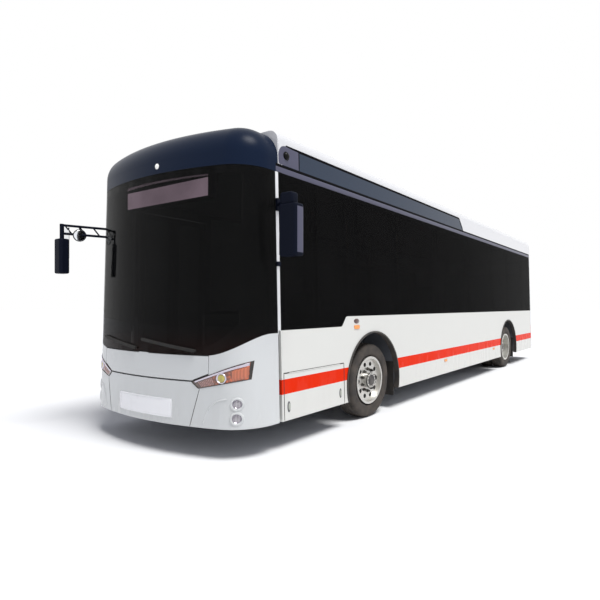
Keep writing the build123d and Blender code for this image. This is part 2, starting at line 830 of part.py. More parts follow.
with BuildPart() as side_markers:
    add(layer(-MARKER_T, 0))
    with BuildSketch(Plane.XZ):
        for station, height in MARKERS:
            with Locations((at(station), height)):
                RectangleRounded(*MARKER, MARKER[1] / 3)
    extrude(amount=WIDTH, both=True, mode=Mode.INTERSECT)
save(side_markers, "side_markers")

wheel_y = HALF - TYRE_INSET - TYRE_W / 2
kingpin_y = wheel_y - KINGPIN_INSET
rail_y = wheel_y - TWIN_PITCH - TYRE_W / 2 - RAIL_GAP

# Floor in three levels, wheel boxes and mud flaps
# Wheel wells: axle station, distance of the inner wall from the centre line
WELLS = ((FRONT_AXLE, FRONT_WELL_Y), (REAR_AXLE, REAR_WELL_Y))
well_base = FLOOR_Z - FLOOR_T
box_top = TYRE_R + ARCH_R + LIP + BOX_T + SEAM

with BuildPart() as floor:
    with BuildSketch(Plane.XZ):
        with BuildLine():
            Polyline(
                (at(FLOOR_FRONT), FLOOR_Z - FLOOR_T),
                (at(FLOOR_FRONT), FLOOR_Z),
                (at(DECK_STEP), FLOOR_Z),
                (at(DECK_STEP), REAR_DECK_Z),
                (at(BAY_STEP), REAR_DECK_Z),
                (at(BAY_STEP), BAY_DECK_Z),
                (at(FLOOR_REAR), BAY_DECK_Z),
                (at(FLOOR_REAR), BAY_DECK_Z - FLOOR_T),
                (at(BAY_STEP + FLOOR_T), BAY_DECK_Z - FLOOR_T),
                (at(BAY_STEP + FLOOR_T), REAR_DECK_Z - FLOOR_T),
                (at(DECK_STEP + FLOOR_T), REAR_DECK_Z - FLOOR_T),
                (at(DECK_STEP + FLOOR_T), FLOOR_Z - FLOOR_T),
                close=True,
            )
        make_face()
    extrude(amount=WIDTH, both=True)
    add(cabin, mode=Mode.INTERSECT)
    for station, well_y in WELLS:
        with BuildSketch(Plane.XY):
            for side in (1, -1):
                with Locations((at(station), side * (WIDTH + well_y - BOX_T) / 2)):
                    Rectangle(2 * (WELL_X + BOX_T), WIDTH - well_y + BOX_T)
        extrude(amount=ROOF_Z, mode=Mode.SUBTRACT)
save(floor, "floor")

with BuildPart() as wheel_boxes:
    for station, well_y in WELLS:
        with BuildSketch(Plane.XY.offset(well_base)):
            for side in (1, -1):
                with Locations((at(station), side * (WIDTH / 2 + well_y - BOX_T) / 2)):
                    Rectangle(2 * (WELL_X + BOX_T), WIDTH / 2 - well_y + BOX_T)
        extrude(amount=box_top - well_base)
        with BuildSketch(Plane.XY.offset(well_base)):
            for side in (1, -1):
                with Locations((at(station), side * (WIDTH / 2 + well_y) / 2)):
                    Rectangle(2 * WELL_X, WIDTH / 2 - well_y)
        extrude(amount=box_top - BOX_T - well_base, mode=Mode.SUBTRACT)
    with BuildSketch(Plane.XZ):
        for station, _ in WELLS:
            span(at(station) - NOTCH_X, at(station) + NOTCH_X, well_base, NOTCH_Z)
    extrude(amount=max(FRONT_WELL_Y, REAR_WELL_Y), both=True, mode=Mode.SUBTRACT)
    add(cabin, mode=Mode.INTERSECT)
save(wheel_boxes, "wheel_boxes")

with BuildPart() as mudflaps:
    for station in (FRONT_AXLE, REAR_AXLE):
        with BuildSketch(Plane.YZ.offset(at(station) - WELL_X)):
            for side in (1, -1):
                span(side * (wheel_y - MUDFLAP_W / 2), side * (wheel_y + MUDFLAP_W / 2), *MUDFLAP_Z)
        extrude(amount=MUDFLAP_T)
save(mudflaps, "mudflaps")

# Wheels: tyres, rims with hand holes, twins at the rear
def draw_tyre(mid):
    """Tyre section about its own middle line, in radius and offset."""
    wall_h = TYRE_R - BEAD_R
    half = [(BEAD_R + up * wall_h, out * TYRE_W) for up, out in TYRE_SECTION]
    Polygon(*[(r, mid + a) for r, a in half], *[(r, mid - a) for r, a in reversed(half)], align=None)


def wheel_plane(x, side):
    """Section plane of a wheel: local x is the radius, local y points away from the bus."""
    return Plane(origin=(x, side * wheel_y, TYRE_R), x_dir=(1, 0, 0), z_dir=(0, 0, side))


def make_tyre(x, side, mids):
    """One tyre, or a twin pair, on its axle."""
    with BuildPart() as tyre:
        with BuildSketch(wheel_plane(x, side)):
            for mid in mids:
                draw_tyre(mid)
        revolve(axis=Axis((x, 0, TYRE_R), (0, 1, 0)))
    return tyre


def make_rim(x, side, inner_end, disc, hub):
    """Rim barrel, disc with hand holes and a capped hub that runs on the stub axle."""
    barrel_r = BEAD_R - SEAT
    bore_r = STUB_R + BEARING
    with BuildPart() as rim:
        with BuildSketch(wheel_plane(x, side)):
            span(barrel_r - RIM_T, barrel_r, inner_end, RIM_HALF)
            span(bore_r, barrel_r - RIM_T, disc, disc + DISC_T)
            span(bore_r, HUB_R, *hub)
            span(0, HUB_R, hub[1], hub[1] + CAP_T)
        revolve(axis=Axis((x, 0, TYRE_R), (0, 1, 0)))
        face = Plane(origin=(x, side * (wheel_y + disc), TYRE_R), x_dir=(1, 0, 0), z_dir=(0, side, 0))
        with BuildSketch(face):
            with PolarLocations(HAND_HOLE_PITCH_R, HAND_HOLES):
                Circle(HAND_HOLE_R)
        extrude(amount=DISC_T, mode=Mode.SUBTRACT)
    return rim


for end, side in (("left", 1), ("right", -1)):
    front_x = at(FRONT_AXLE)
    rear_x = at(REAR_AXLE)
    save(make_tyre(front_x, side, (0,)), f"front_tyre_{end}")
    save(make_rim(front_x, side, -RIM_HALF, FRONT_DISC, FRONT_HUB), f"front_rim_{end}")
    save(make_tyre(rear_x, side, (0, -TWIN_PITCH)), f"rear_tyres_{end}")
    save(make_rim(rear_x, side, -TWIN_PITCH - RIM_HALF, REAR_DISC, REAR_HUB), f"rear_rims_{end}")

# Dropped front axle beam with an eye for each kingpin
with BuildPart() as front_axle:
    with BuildSketch(Plane.YZ.offset(at(FRONT_AXLE) - BEAM_X / 2)):
        with BuildLine():
            Polyline(
                (0, BEAM_Z),
                (BEAM_DROP_Y, BEAM_Z),
                (kingpin_y - EYE_R, TYRE_R - BEAM_H / 2),
                (kingpin_y, TYRE_R - BEAM_H / 2),
                (kingpin_y, TYRE_R + BEAM_H / 2),
                (kingpin_y - EYE_R - BEAM_H / 2, TYRE_R + BEAM_H / 2),
                (BEAM_DROP_Y - BEAM_H, BEAM_Z + BEAM_H),
                (0, BEAM_Z + BEAM_H),
            )
            mirror(about=Plane.YZ)
        make_face()
    extrude(amount=BEAM_X)
    with BuildSketch(Plane.XY.offset(TYRE_R - EYE_H / 2)):
        with Locations((at(FRONT_AXLE), kingpin_y), (at(FRONT_AXLE), -kingpin_y)):
            Circle(EYE_R)
    extrude(amount=EYE_H)
    with BuildSketch(Plane.XY.offset(TYRE_R - EYE_H / 2)):
        with Locations((at(FRONT_AXLE), kingpin_y), (at(FRONT_AXLE), -kingpin_y)):
            Circle(KINGPIN_R + BEARING)
    extrude(amount=EYE_H, mode=Mode.SUBTRACT)
save(front_axle, "front_axle")


def make_knuckle(side):
    """Steering knuckle: kingpin, upper and lower lugs, back plate and stub axle."""
    x = at(FRONT_AXLE)
    pin_y = side * kingpin_y
    lug_z = EYE_H / 2 + LUG_GAP
    half_h = lug_z + LUG_T
    stub_end = side * (wheel_y + FRONT_HUB[1] - SEAT)
    with BuildPart() as knuckle:
        with BuildSketch(Plane.XY.offset(TYRE_R - half_h)):
            with Locations((x, pin_y)):
                Circle(EYE_R)
            with Locations((x, pin_y + side * PLATE[0] / 2)):
                Rectangle(2 * PLATE_HALF, PLATE[0])
        extrude(amount=LUG_T)
        with BuildSketch(Plane.XY.offset(TYRE_R + lug_z)):
            with Locations((x, pin_y)):
                Circle(EYE_R)
            with Locations((x, pin_y + side * PLATE[0] / 2)):
                Rectangle(2 * PLATE_HALF, PLATE[0])
        extrude(amount=LUG_T)
        add(rod((x, pin_y, TYRE_R - half_h), (x, pin_y, TYRE_R + half_h), KINGPIN_R))
        with BuildSketch(Plane.XY.offset(TYRE_R - half_h)):
            with Locations((x, pin_y + side * (PLATE[0] + PLATE[1]) / 2)):
                Rectangle(2 * PLATE_HALF, PLATE[1] - PLATE[0])
        extrude(amount=2 * half_h)
        add(rod((x, pin_y + side * PLATE[0], TYRE_R), (x, stub_end, TYRE_R), STUB_R))
    return knuckle


save(make_knuckle(1), "knuckle_left")
save(make_knuckle(-1), "knuckle_right")

# Driven rear axle on two chassis rails, with its motor and the battery behind
AXLE_END = wheel_y + REAR_HUB[0] - SEAM

with BuildPart() as chassis_rails:
    rail_front = at(DECK_STEP + FLOOR_T)
    rail_rear = -LENGTH / 2 + WALL + RAIL_END
    with BuildSketch(Plane.XY.offset(RAIL_Z[0])):
        for side in (1, -1):
            with Locations(((rail_front + rail_rear) / 2, side * rail_y)):
                Rectangle(rail_front - rail_rear, RAIL_W)
    extrude(amount=RAIL_Z[1] - RAIL_Z[0])
    with BuildSketch(Plane.XY.offset(JACK_Z)):
        with Locations((at(REAR_JACK), rail_y), (at(REAR_JACK), -rail_y)):
            Rectangle(JACK_PAD, RAIL_W)
    extrude(amount=RAIL_Z[0] - JACK_Z)
    with BuildSketch(Plane.XY.offset(JACK_Z)):
        with Locations((at(FRONT_JACK), FRONT_JACK_Y), (at(FRONT_JACK), -FRONT_JACK_Y)):
            Rectangle(JACK_PAD, JACK_PAD)
    extrude(amount=FLOOR_Z - FLOOR_T - JACK_Z)
save(chassis_rails, "chassis_rails")

with BuildPart() as rear_axle:
    rear_x = at(REAR_AXLE)
    stub_end = wheel_y + REAR_HUB[1] - SEAT
    add(rod((rear_x, -AXLE_END, TYRE_R), (rear_x, AXLE_END, TYRE_R), AXLE_TUBE_R))
    add(rod((rear_x, -stub_end, TYRE_R), (rear_x, stub_end, TYRE_R), STUB_R))
    add(rod((rear_x, -DIFF_HALF, TYRE_R), (rear_x, DIFF_HALF, TYRE_R), DIFF_R))
    with BuildSketch(Plane.XY.offset(RAIL_Z[1])):
        with Locations((rear_x, rail_y), (rear_x, -rail_y)):
            Rectangle(PAD_X, RAIL_W)
    extrude(amount=TYRE_R - RAIL_Z[1])
save(rear_axle, "rear_axle")

with BuildPart() as traction_motor:
    motor_x = at(REAR_AXLE) - DIFF_R - MOTOR_GAP
    motor_z = RAIL_Z[1] + CRADLE_T / 2 + MOTOR_R
    add(rod((motor_x, 0, motor_z), (motor_x - MOTOR_L, 0, motor_z), MOTOR_R))
    with BuildSketch(Plane.XY.offset(RAIL_Z[1])):
        with Locations((motor_x - MOTOR_L / 2, 0)):
            Rectangle(MOTOR_L / 2, 2 * rail_y + RAIL_W)
    extrude(amount=CRADLE_T)
save(traction_motor, "traction_motor")

with BuildPart() as rear_battery:
    with BuildSketch(Plane.XY.offset(RAIL_Z[1])):
        span(at(PACK_X[1]), at(PACK_X[0]), -PACK_HALF, PACK_HALF)
    extrude(amount=PACK_TOP_Z - RAIL_Z[1])

with BuildPart() as ceiling:
    with BuildSketch(Plane.XY.offset(BAND_TOP_Z)):
        span(-LENGTH / 2, at(CEILING_FRONT), -WIDTH / 2, WIDTH / 2)
    extrude(amount=CEILING_T)
    add(cabin, mode=Mode.INTERSECT)
save(ceiling, "ceiling")

with BuildPart() as roof_battery:
    with BuildSketch(Plane.XY.offset(BAND_TOP_Z + CEILING_T)):
        span(at(ROOF_PACK[1]), at(ROOF_PACK[0]), -ROOF_PACK_HALF, ROOF_PACK_HALF)
    extrude(amount=ROOF_PACK_H)

with BuildPart() as battery_packs:
    add(rear_battery.part)
    add(roof_battery.part)
save(battery_packs, "battery_packs")

# Destination sign box under the ceiling, behind the screen
with BuildPart() as sign_box:
    with BuildSketch(Plane.XY.offset(BAND_TOP_Z - SIGN_H)):
        span(at(SIGN_X[1]), at(SIGN_X[0]), -SIGN_HALF, SIGN_HALF)
    extrude(amount=SIGN_H)
save(sign_box, "sign_box")

# Driver's place: dash with its console and column, wheel and seat
HELM = Vector(at(HELM_AT), DRIVER_Y, HELM_Z)
HELM_AXIS = Vector(-0.5, 0, 0.86).normalized()

with BuildPart() as dashboard:
    with BuildSketch(Plane.XZ):
        span(at(DASH_AT), LENGTH / 2, FLOOR_Z, DASH_Z)
    extrude(amount=WIDTH, both=True)
    with BuildSketch(Plane.XY.offset(CONSOLE_Z)):
        span(at(CONSOLE_AT), at(DASH_AT), *CONSOLE_Y)
    extrude(amount=DASH_Z - CONSOLE_Z)
    column_top = HELM - HELM_AXIS * (HELM_HUB_T / 2)
    add(rod(column_top - HELM_AXIS * COLUMN_L, column_top, COLUMN_R))
    add(cabin, mode=Mode.INTERSECT)
save(dashboard, "dashboard")

with BuildPart() as steering_wheel:
    helm_plane = Plane(origin=HELM, x_dir=(0, 1, 0), z_dir=HELM_AXIS)
    with Locations(helm_plane):
        Torus(HELM_R, HELM_GRIP_R)
    with BuildSketch(helm_plane.offset(-HELM_HUB_T / 2)):
        Circle(HELM_HUB_R)
    extrude(amount=HELM_HUB_T)
    for angle in (0, 180, 270):
        spoke = helm_plane.x_dir * cos(radians(angle)) + helm_plane.y_dir * sin(radians(angle))
        add(rod(HELM + spoke * HELM_HUB_R / 2, HELM + spoke * HELM_R, SPOKE_R))
save(steering_wheel, "steering_wheel")

# Seats: a pedestal, cushion and back drawn from the side and carried across


def make_seat(station, y, base_z, width, back_h=BACK_H, lift=0.0):
    """Seat facing forwards, its back at a station."""
    x = at(station)
    top = base_z + CUSHION_Z + lift
    with BuildPart() as seat:
        with BuildSketch(Plane.XZ.offset(-(y + width / 2))):
            span(x + CUSHION_L / 2 - PEDESTAL_L / 2, x + CUSHION_L / 2 + PEDESTAL_L / 2, base_z, top)
            span(x, x + CUSHION_L, top, top + CUSHION_T, CUSHION_R)
            Polygon(
                (x, top),
                (x + BACK_T, top),
                (x + BACK_T - BACK_TILT, top + back_h),
                (x - BACK_TILT, top + back_h),
                align=None,
            )
        extrude(amount=width)
    return seat


seat_y = HALF - WALL - WALL_GAP - SEAT_W / 2
pole_y = seat_y - SEAT_W / 2 - AISLE_GAP
left_room = DECK_STEP - STEP_ROOM - FIRST_LEFT_SEAT
right_room = MID_DOOR - MID_DOOR_HALF - DOOR_ROOM - FIRST_RIGHT_SEAT
left_row = [FIRST_LEFT_SEAT + SEAT_PITCH * place for place in range(int(left_room // SEAT_PITCH) + 1)]
right_row = [FIRST_RIGHT_SEAT + SEAT_PITCH * place for place in range(int(right_room // SEAT_PITCH) + 1)]
# Seat rows: stations of the backs, distance from the centre line, floor level
ROWS = (
    (left_row, seat_y, FLOOR_Z),
    (right_row, -seat_y, FLOOR_Z),
    ([DECK_SEAT], seat_y, REAR_DECK_Z),
    ([DECK_SEAT], -seat_y, REAR_DECK_Z),
)
bench_w = 2 * (HALF - WALL - BENCH_GAP)
bench_back = BAND_TOP_Z - BENCH_HEADROOM - BAY_DECK_Z - CUSHION_Z

with BuildPart() as passenger_seats:
    for stations, y, base_z in ROWS:
        for station in stations:
            add(make_seat(station, y, base_z, SEAT_W).part)
    add(make_seat(BENCH_AT, 0.0, BAY_DECK_Z, bench_w, bench_back).part)
save(passenger_seats, "passenger_seats")

driver_seat = make_seat(DRIVER_SEAT_AT, DRIVER_Y, FLOOR_Z, DRIVER_SEAT_W, lift=DRIVER_SEAT_LIFT)
save(driver_seat, "driver_seat")

# Grab poles from floor to ceiling with a rail along each side of the aisle
with BuildPart() as grab_poles:
    for side in (1, -1):
        for station in POLES:
            add(rod((at(station), side * pole_y, FLOOR_Z), (at(station), side * pole_y, BAND_TOP_Z), POLE_R))
        ends = [(at(station), side * pole_y, RAIL_HEIGHT) for station in (POLES[0], POLES[-1])]
        add(rod(*ends, POLE_R))
save(grab_poles, "grab_poles")

# Mirrors: a bracket on the front pillar, an arm and a head
right_elbow = Vector(at(RIGHT_ELBOW_AT), -HALF - RIGHT_ELBOW_OUT, RIGHT_ELBOW_Z)
left_head = Vector(at(LEFT_HEAD_AT), HALF + LEFT_HEAD_OUT, LEFT_HEAD_Z)


def make_bracket(side, low, high):
    """Pad that seats on the skin of the front pillar."""
    with BuildPart() as pad:
        add(layer(-BRACKET_T, 0))
        with BuildSketch(Plane.XZ):
            span(band_front, front_cut, low, high)
        extrude(amount=towards(side), mode=Mode.INTERSECT)
    return pad.part


def make_head(middle, size):
    """Mirror head: an upright block with rounded corners and softened ends."""
    with BuildPart() as head:
        with BuildSketch(Plane.XY.offset(middle.Z - size[2] / 2)):
            with Locations((middle.X, middle.Y)):
                RectangleRounded(size[0], size[1], HEAD_R)
        extrude(amount=size[2])
        ends = head.faces().sort_by(Axis.Z)
        fillet(ends[0].edges() + ends[-1].edges(), HEAD_EDGE_R)
    return head.part


pillar_x = (band_front + front_cut) / 2

with BuildPart() as right_mirror:
    add(make_bracket(-1, *RIGHT_BRACKET_Z))
    drop = Vector(0, 0, TRUSS_DROP)
    root = Vector(pillar_x, -skin_y(right_elbow.Z) - BRACKET_T, right_elbow.Z - ARM_R)
    arm = right_elbow - root
    add(rod(root, right_elbow, ARM_R))
    add(rod(root - drop, right_elbow - drop, ARM_R))
    for bay in range(TRUSS_BAYS):
        low_end = root + arm * ((bay + 0.3) / TRUSS_BAYS) - drop
        add(rod(low_end, root + arm * ((bay + 0.8) / TRUSS_BAYS), BRACE_R))
    add(rod(right_elbow + Vector(0, 0, ARM_R), right_elbow - drop * 2, POST_R))
    add(make_head(right_elbow - drop * 2 - Vector(0, 0, RIGHT_HEAD[2] / 2 - HEAD_R), RIGHT_HEAD))

with BuildPart() as left_mirror:
    add(make_bracket(1, *LEFT_BRACKET_Z))
    arm_z = (LEFT_BRACKET_Z[0] + LEFT_BRACKET_Z[1]) / 2
    elbow = Vector(left_head.X, left_head.Y, arm_z)
    add(rod((pillar_x, skin_y(arm_z) + BRACKET_T / 2, arm_z), elbow, LEFT_ARM_R))
    add(rod(elbow + Vector(0, 0, ARM_R * 2), left_head, POST_R))
    add(make_head(left_head, LEFT_HEAD))

with BuildPart() as mirrors:
    add(right_mirror.part)
    add(left_mirror.part)
save(mirrors, "mirrors")

# Towing eyes under the floor at the front and under a rail at the rear
# Eyes: station, distance from the centre line, level of the seat
EYES = ((FRONT_EYE_AT, 0.0, FLOOR_Z - FLOOR_T), (REAR_EYE_AT, rail_y, RAIL_Z[0]))

with BuildPart() as towing_eyes:
    for station, y, seat_z in EYES:
        with BuildSketch(Plane.XZ.offset(-(y + EYE_T / 2))):
            span(at(station) - EYE_LUG_L / 2, at(station) + EYE_LUG_L / 2, EYE_Z - EYE_EDGE, seat_z)
            with Locations((at(station), EYE_Z)):
                Circle(EYE_BORE_R, mode=Mode.SUBTRACT)
        extrude(amount=EYE_T)
save(towing_eyes, "towing_eyes")
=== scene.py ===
"""Looks of a low-floor electric city bus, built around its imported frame. Metres, +X forward, +Z up."""

import json
import logging
import math
from dataclasses import dataclass
from enum import Enum
from typing import Any, Callable, Dict, List, Optional, Sequence, Tuple, Union

import bmesh
import bpy
import numpy as np
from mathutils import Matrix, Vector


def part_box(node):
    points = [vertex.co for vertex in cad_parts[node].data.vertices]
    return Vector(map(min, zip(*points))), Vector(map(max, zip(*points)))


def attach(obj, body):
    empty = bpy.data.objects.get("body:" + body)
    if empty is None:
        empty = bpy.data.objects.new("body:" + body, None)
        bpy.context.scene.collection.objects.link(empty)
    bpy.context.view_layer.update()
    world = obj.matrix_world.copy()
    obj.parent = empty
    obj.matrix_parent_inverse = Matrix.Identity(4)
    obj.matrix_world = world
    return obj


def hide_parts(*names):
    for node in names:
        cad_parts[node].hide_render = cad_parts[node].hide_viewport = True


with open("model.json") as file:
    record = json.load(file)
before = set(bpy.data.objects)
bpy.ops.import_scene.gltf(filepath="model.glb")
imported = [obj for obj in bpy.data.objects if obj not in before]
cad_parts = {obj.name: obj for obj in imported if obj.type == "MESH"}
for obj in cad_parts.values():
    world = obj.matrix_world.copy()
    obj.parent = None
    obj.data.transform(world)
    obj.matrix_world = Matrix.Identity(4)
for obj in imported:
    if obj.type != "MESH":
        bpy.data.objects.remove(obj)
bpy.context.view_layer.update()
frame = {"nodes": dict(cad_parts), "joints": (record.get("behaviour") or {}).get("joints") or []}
LOG = logging.getLogger("bus")

WELD = 1e-5
SHARP_DEG = 40.0
SHALLOW = 0.001
UP = np.array((0.0, 0.0, 1.0))

Colour = Tuple[float, float, float]
Number = Union["Sock", float]
Values = Union[np.ndarray, float]
Outline = Sequence[Tuple[float, float]]
Shape = Callable[[Values, Values], Tuple[Values, Values]]
Surface = Callable[[Values, Values, Values], np.ndarray]


class Side(Enum):
    """The two sides of the bus, with the sign of Y on each."""

    LEFT = 1
    RIGHT = -1


class Sock:
    """A shader socket that takes part in Python expressions."""

    def __init__(self, nodes: "Nodes", socket: Any) -> None:
        """Keeps the socket and the nodes that it belongs to."""
        self.nodes = nodes
        self.socket = socket

    def _math(self, operation: str, first: Number, second: Number) -> "Sock":
        """Adds one Math node and returns its value."""
        return self.nodes.node("ShaderNodeMath", {"operation": operation}, {0: first, 1: second})

    def __add__(self, other: Number) -> "Sock":
        """This value plus the other."""
        return self._math("ADD", self, other)

    def __sub__(self, other: Number) -> "Sock":
        """This value less the other."""
        return self._math("SUBTRACT", self, other)

    def __rsub__(self, other: Number) -> "Sock":
        """The other value less this one."""
        return self._math("SUBTRACT", other, self)

    def __mul__(self, other: Number) -> "Sock":
        """This value times the other."""
        return self._math("MULTIPLY", self, other)

    def __gt__(self, other: Number) -> "Sock":
        """One where this value is the greater, else nought."""
        return self._math("GREATER_THAN", self, other)

    def __lt__(self, other: Number) -> "Sock":
        """One where this value is the smaller, else nought."""
        return self._math("LESS_THAN", self, other)

    def __abs__(self) -> "Sock":
        """This value without its sign."""
        return self._math("ABSOLUTE", self, 0.0)

    __radd__ = __add__
    __rmul__ = __mul__

    def between(self, low: float, high: float) -> "Sock":
        """One where this value lies between two numbers, else nought."""
        return (self > low) * (self < high)

    def either(self, other: Number) -> "Sock":
        """The greater of this value and the other."""
        return self._math("MAXIMUM", self, other)

    def ease(self, low: float, high: float, at_low: float = 0.0, at_high: float = 1.0) -> "Sock":
        """Runs smoothly from one result to another as this value goes from low to high.

        Args:
            low: the value where the run starts.
            high: the value where it ends.
            at_low: the result up to its start.
            at_high: the result from its end on.

        Returns:
            The eased value.
        """
        return self.nodes.node("ShaderNodeMapRange", {"interpolation_type": "SMOOTHSTEP"},
                               {"Value": self, "From Min": low, "From Max": high,
                                "To Min": at_low, "To Max": at_high})


class Nodes:
    """A node tree that one method fills."""

    def __init__(self, tree: bpy.types.NodeTree) -> None:
        """Keeps the tree."""
        self.tree = tree

    def node(self, kind: str, settings: Optional[Dict[str, Any]] = None,
             inputs: Optional[Dict[Any, Any]] = None, out: Any = 0) -> Sock:
        """Adds a node of any kind.

        Args:
            kind: the node's type.
            settings: its properties, which are set first.
            inputs: values or links for its sockets, by name or number.
            out: which output comes back.

        Returns:
            The chosen output.
        """
        made = self.tree.nodes.new(kind)
        for key, value in (settings or {}).items():
            setattr(made, key, value)
        for key, value in (inputs or {}).items():
            self.feed(made.inputs[key], value)
        return Sock(self, made.outputs[out])

    def feed(self, socket: Any, value: Any) -> None:
        """Links or sets one input socket.

        Args:
            socket: the input.
            value: a value of this tree, a number, a vector or a colour of three parts.
        """
        if isinstance(value, Sock):
            self.tree.links.new(value.socket, socket)
        elif hasattr(socket.default_value, "__len__") and len(socket.default_value) == 4:
            socket.default_value = (*value, 1.0)
        else:
            socket.default_value = value

    def blend(self, factor: Number, first: Any, second: Any) -> Sock:
        """Mixes two colours, the second's share being the factor."""
        return self.node("ShaderNodeMix", {"data_type": "RGBA"}, {0: factor, 6: first, 7: second}, out=2)


class Shader(Nodes):
    """One node material with a single Principled surface, read on Object coordinates."""

    def __init__(self, name: str) -> None:
        """Starts an empty material.

        Args:
            name: the material's name.
        """
        self.material = bpy.data.materials.new(name)
        self.material.use_nodes = True
        super().__init__(self.material.node_tree)
        self.surface = self.tree.nodes["Principled BSDF"]
        self.place = self.node("ShaderNodeTexCoord", out="Object")
        split = self.node("ShaderNodeSeparateXYZ", inputs={0: self.place}).socket.node
        self.x, self.y, self.z = (Sock(self, split.outputs[axis]) for axis in "XYZ")

    def put(self, **sockets: Any) -> None:
        """Feeds the surface's sockets, named with underscores for spaces."""
        for key, value in sockets.items():
            self.feed(self.surface.inputs[key.replace("_", " ")], value)

    def noise(self, scale: float, detail: float = 3.0, stretch: Sequence[float] = (1, 1, 1)) -> Sock:
        """Fractal noise from nought to one, drawn out along the axes by the stretch."""
        spot = self.node("ShaderNodeMapping", inputs={"Vector": self.place, "Scale": tuple(stretch)})
        return self.node("ShaderNodeTexNoise", inputs={"Vector": spot, "Scale": scale, "Detail": detail})

    def bump(self, height: Number, distance: float, strength: float = 1.0) -> None:
        """Raises the surface by a height pattern, the distance in metres being its full height."""
        self.put(Normal=self.node("ShaderNodeBump", inputs={"Height": height, "Distance": distance,
                                                            "Strength": strength}))

    def ripple(self) -> None:
        """Gives the surface the fine ripple of sprayed lacquer."""
        self.bump(self.noise(scale=220.0, detail=1.0), distance=0.00012, strength=0.5)


@dataclass(frozen=True)
class Finish:
    """A surface finish: a name, a base colour and a roughness."""

    name: str
    colour: Colour
    roughness: float = 0.4

    def paint(self, shader: Shader) -> None:
        """Fills the shader's sockets."""
        raise NotImplementedError(self.name)

    def material(self) -> bpy.types.Material:
        """Makes the material at its first use.

        Returns:
            The one material of this finish.
        """
        full_name = f"finish_{self.name}"
        known = bpy.data.materials.get(full_name)
        if known is None:
            shader = Shader(full_name)
            self.paint(shader)
            known = shader.material
        return known


@dataclass(frozen=True)
class GlossPaint(Finish):
    """Lacquered paint with faint orange peel, road film near the ground and an optional stripe."""

    film: Colour = (0.42, 0.40, 0.36)
    film_foot: float = 0.25
    film_top: float = 0.9
    film_share: float = 0.15
    coat: float = 0.6
    specular: float = 0.5
    stripe: Optional[Colour] = None
    stripe_low: float = 0.548
    stripe_high: float = 0.692

    def paint(self, shader: Shader) -> None:
        """Base colour with stripe and film, coat, and a fine ripple in the lacquer.

        Args:
            shader: the material to fill.
        """
        cloud = shader.noise(scale=3.0, detail=4.0)
        tone = cloud.ease(0.25, 0.75, 0.0, 0.05)
        colour = shader.blend(tone, self.colour, tuple(0.8 * part for part in self.colour))
        if self.stripe is not None:
            band = shader.z.between(self.stripe_low, self.stripe_high)
            colour = shader.blend(band, colour, self.stripe)
        streaks = shader.noise(scale=9.0, detail=5.0, stretch=(1.0, 1.0, 0.25))
        film = shader.z.ease(self.film_foot, self.film_top, self.film_share, 0.0) * streaks.ease(0.3, 0.75)
        shader.put(Base_Color=shader.blend(film, colour, self.film))
        shader.put(Roughness=film * 0.5 + tone * 0.4 + self.roughness)
        shader.put(Coat_Weight=self.coat, Coat_Roughness=0.04, Specular_IOR_Level=self.specular)
        shader.ripple()


@dataclass(frozen=True)
class TintedGlass(Finish):
    """Dark bonded glass that lets a little of the inside through."""

    clear: float = 0.25
    ior: float = 1.11
    foot: Optional[Colour] = None
    foot_z: Tuple[float, float] = (0.98, 1.22)

    def paint(self, shader: Shader) -> None:
        """Smooth dark sheet, a little smeared, tinted at its foot where that is asked for.

        Args:
            shader: the material to fill.
        """
        smear = shader.noise(scale=2.2, detail=4.0).ease(0.3, 0.8)
        colour = shader.blend(smear * 0.35, self.colour, tuple(1.6 * c for c in self.colour))
        if self.foot is not None:
            colour = shader.blend(shader.z.ease(*self.foot_z, 1.0, 0.0), colour, self.foot)
        shader.put(Base_Color=colour)
        shader.put(Roughness=smear * 0.05 + self.roughness, IOR=self.ior, Specular_IOR_Level=0.4)
        shader.put(Alpha=smear * 0.05 + (1.0 - self.clear))


@dataclass(frozen=True)
class Rubber(Finish):
    """Matt rubber, tyre wall or painted iron, greyed and browned by dust."""

    dust: Colour = (0.16, 0.13, 0.105)
    dusty: float = 0.5

    def paint(self, shader: Shader) -> None:
        """Dark base with dust in clouds and a fine moulded grain.

        Args:
            shader: the material to fill.
        """
        cloud = shader.noise(scale=7.0, detail=6.0).ease(0.3, 0.75, 0.15, 1.0)
        shader.put(Base_Color=shader.blend(cloud * self.dusty, self.colour, self.dust))
        shader.put(Roughness=cloud * 0.12 + self.roughness)
        shader.bump(shader.noise(scale=420.0, detail=2.0), distance=0.0004, strength=0.6)


@dataclass(frozen=True)
class Metal(Finish):
    """Bare or polished metal with brush marks and a thin dull film."""

    film: Colour = (0.25, 0.23, 0.2)
    dull: float = 0.25

    def paint(self, shader: Shader) -> None:
        """Metal colour dulled in clouds, with fine scratches in the gloss.

        Args:
            shader: the material to fill.
        """
        cloud = shader.noise(scale=11.0, detail=5.0).ease(0.35, 0.75)
        shader.put(Base_Color=shader.blend(cloud * self.dull, self.colour, self.film))
        shader.put(Roughness=cloud * 0.2 + self.roughness, Metallic=1.0 - cloud * self.dull)
        scratches = shader.noise(scale=160.0, detail=2.0, stretch=(1.0, 0.2, 1.0))
        shader.bump(scratches, distance=0.0002, strength=0.25)


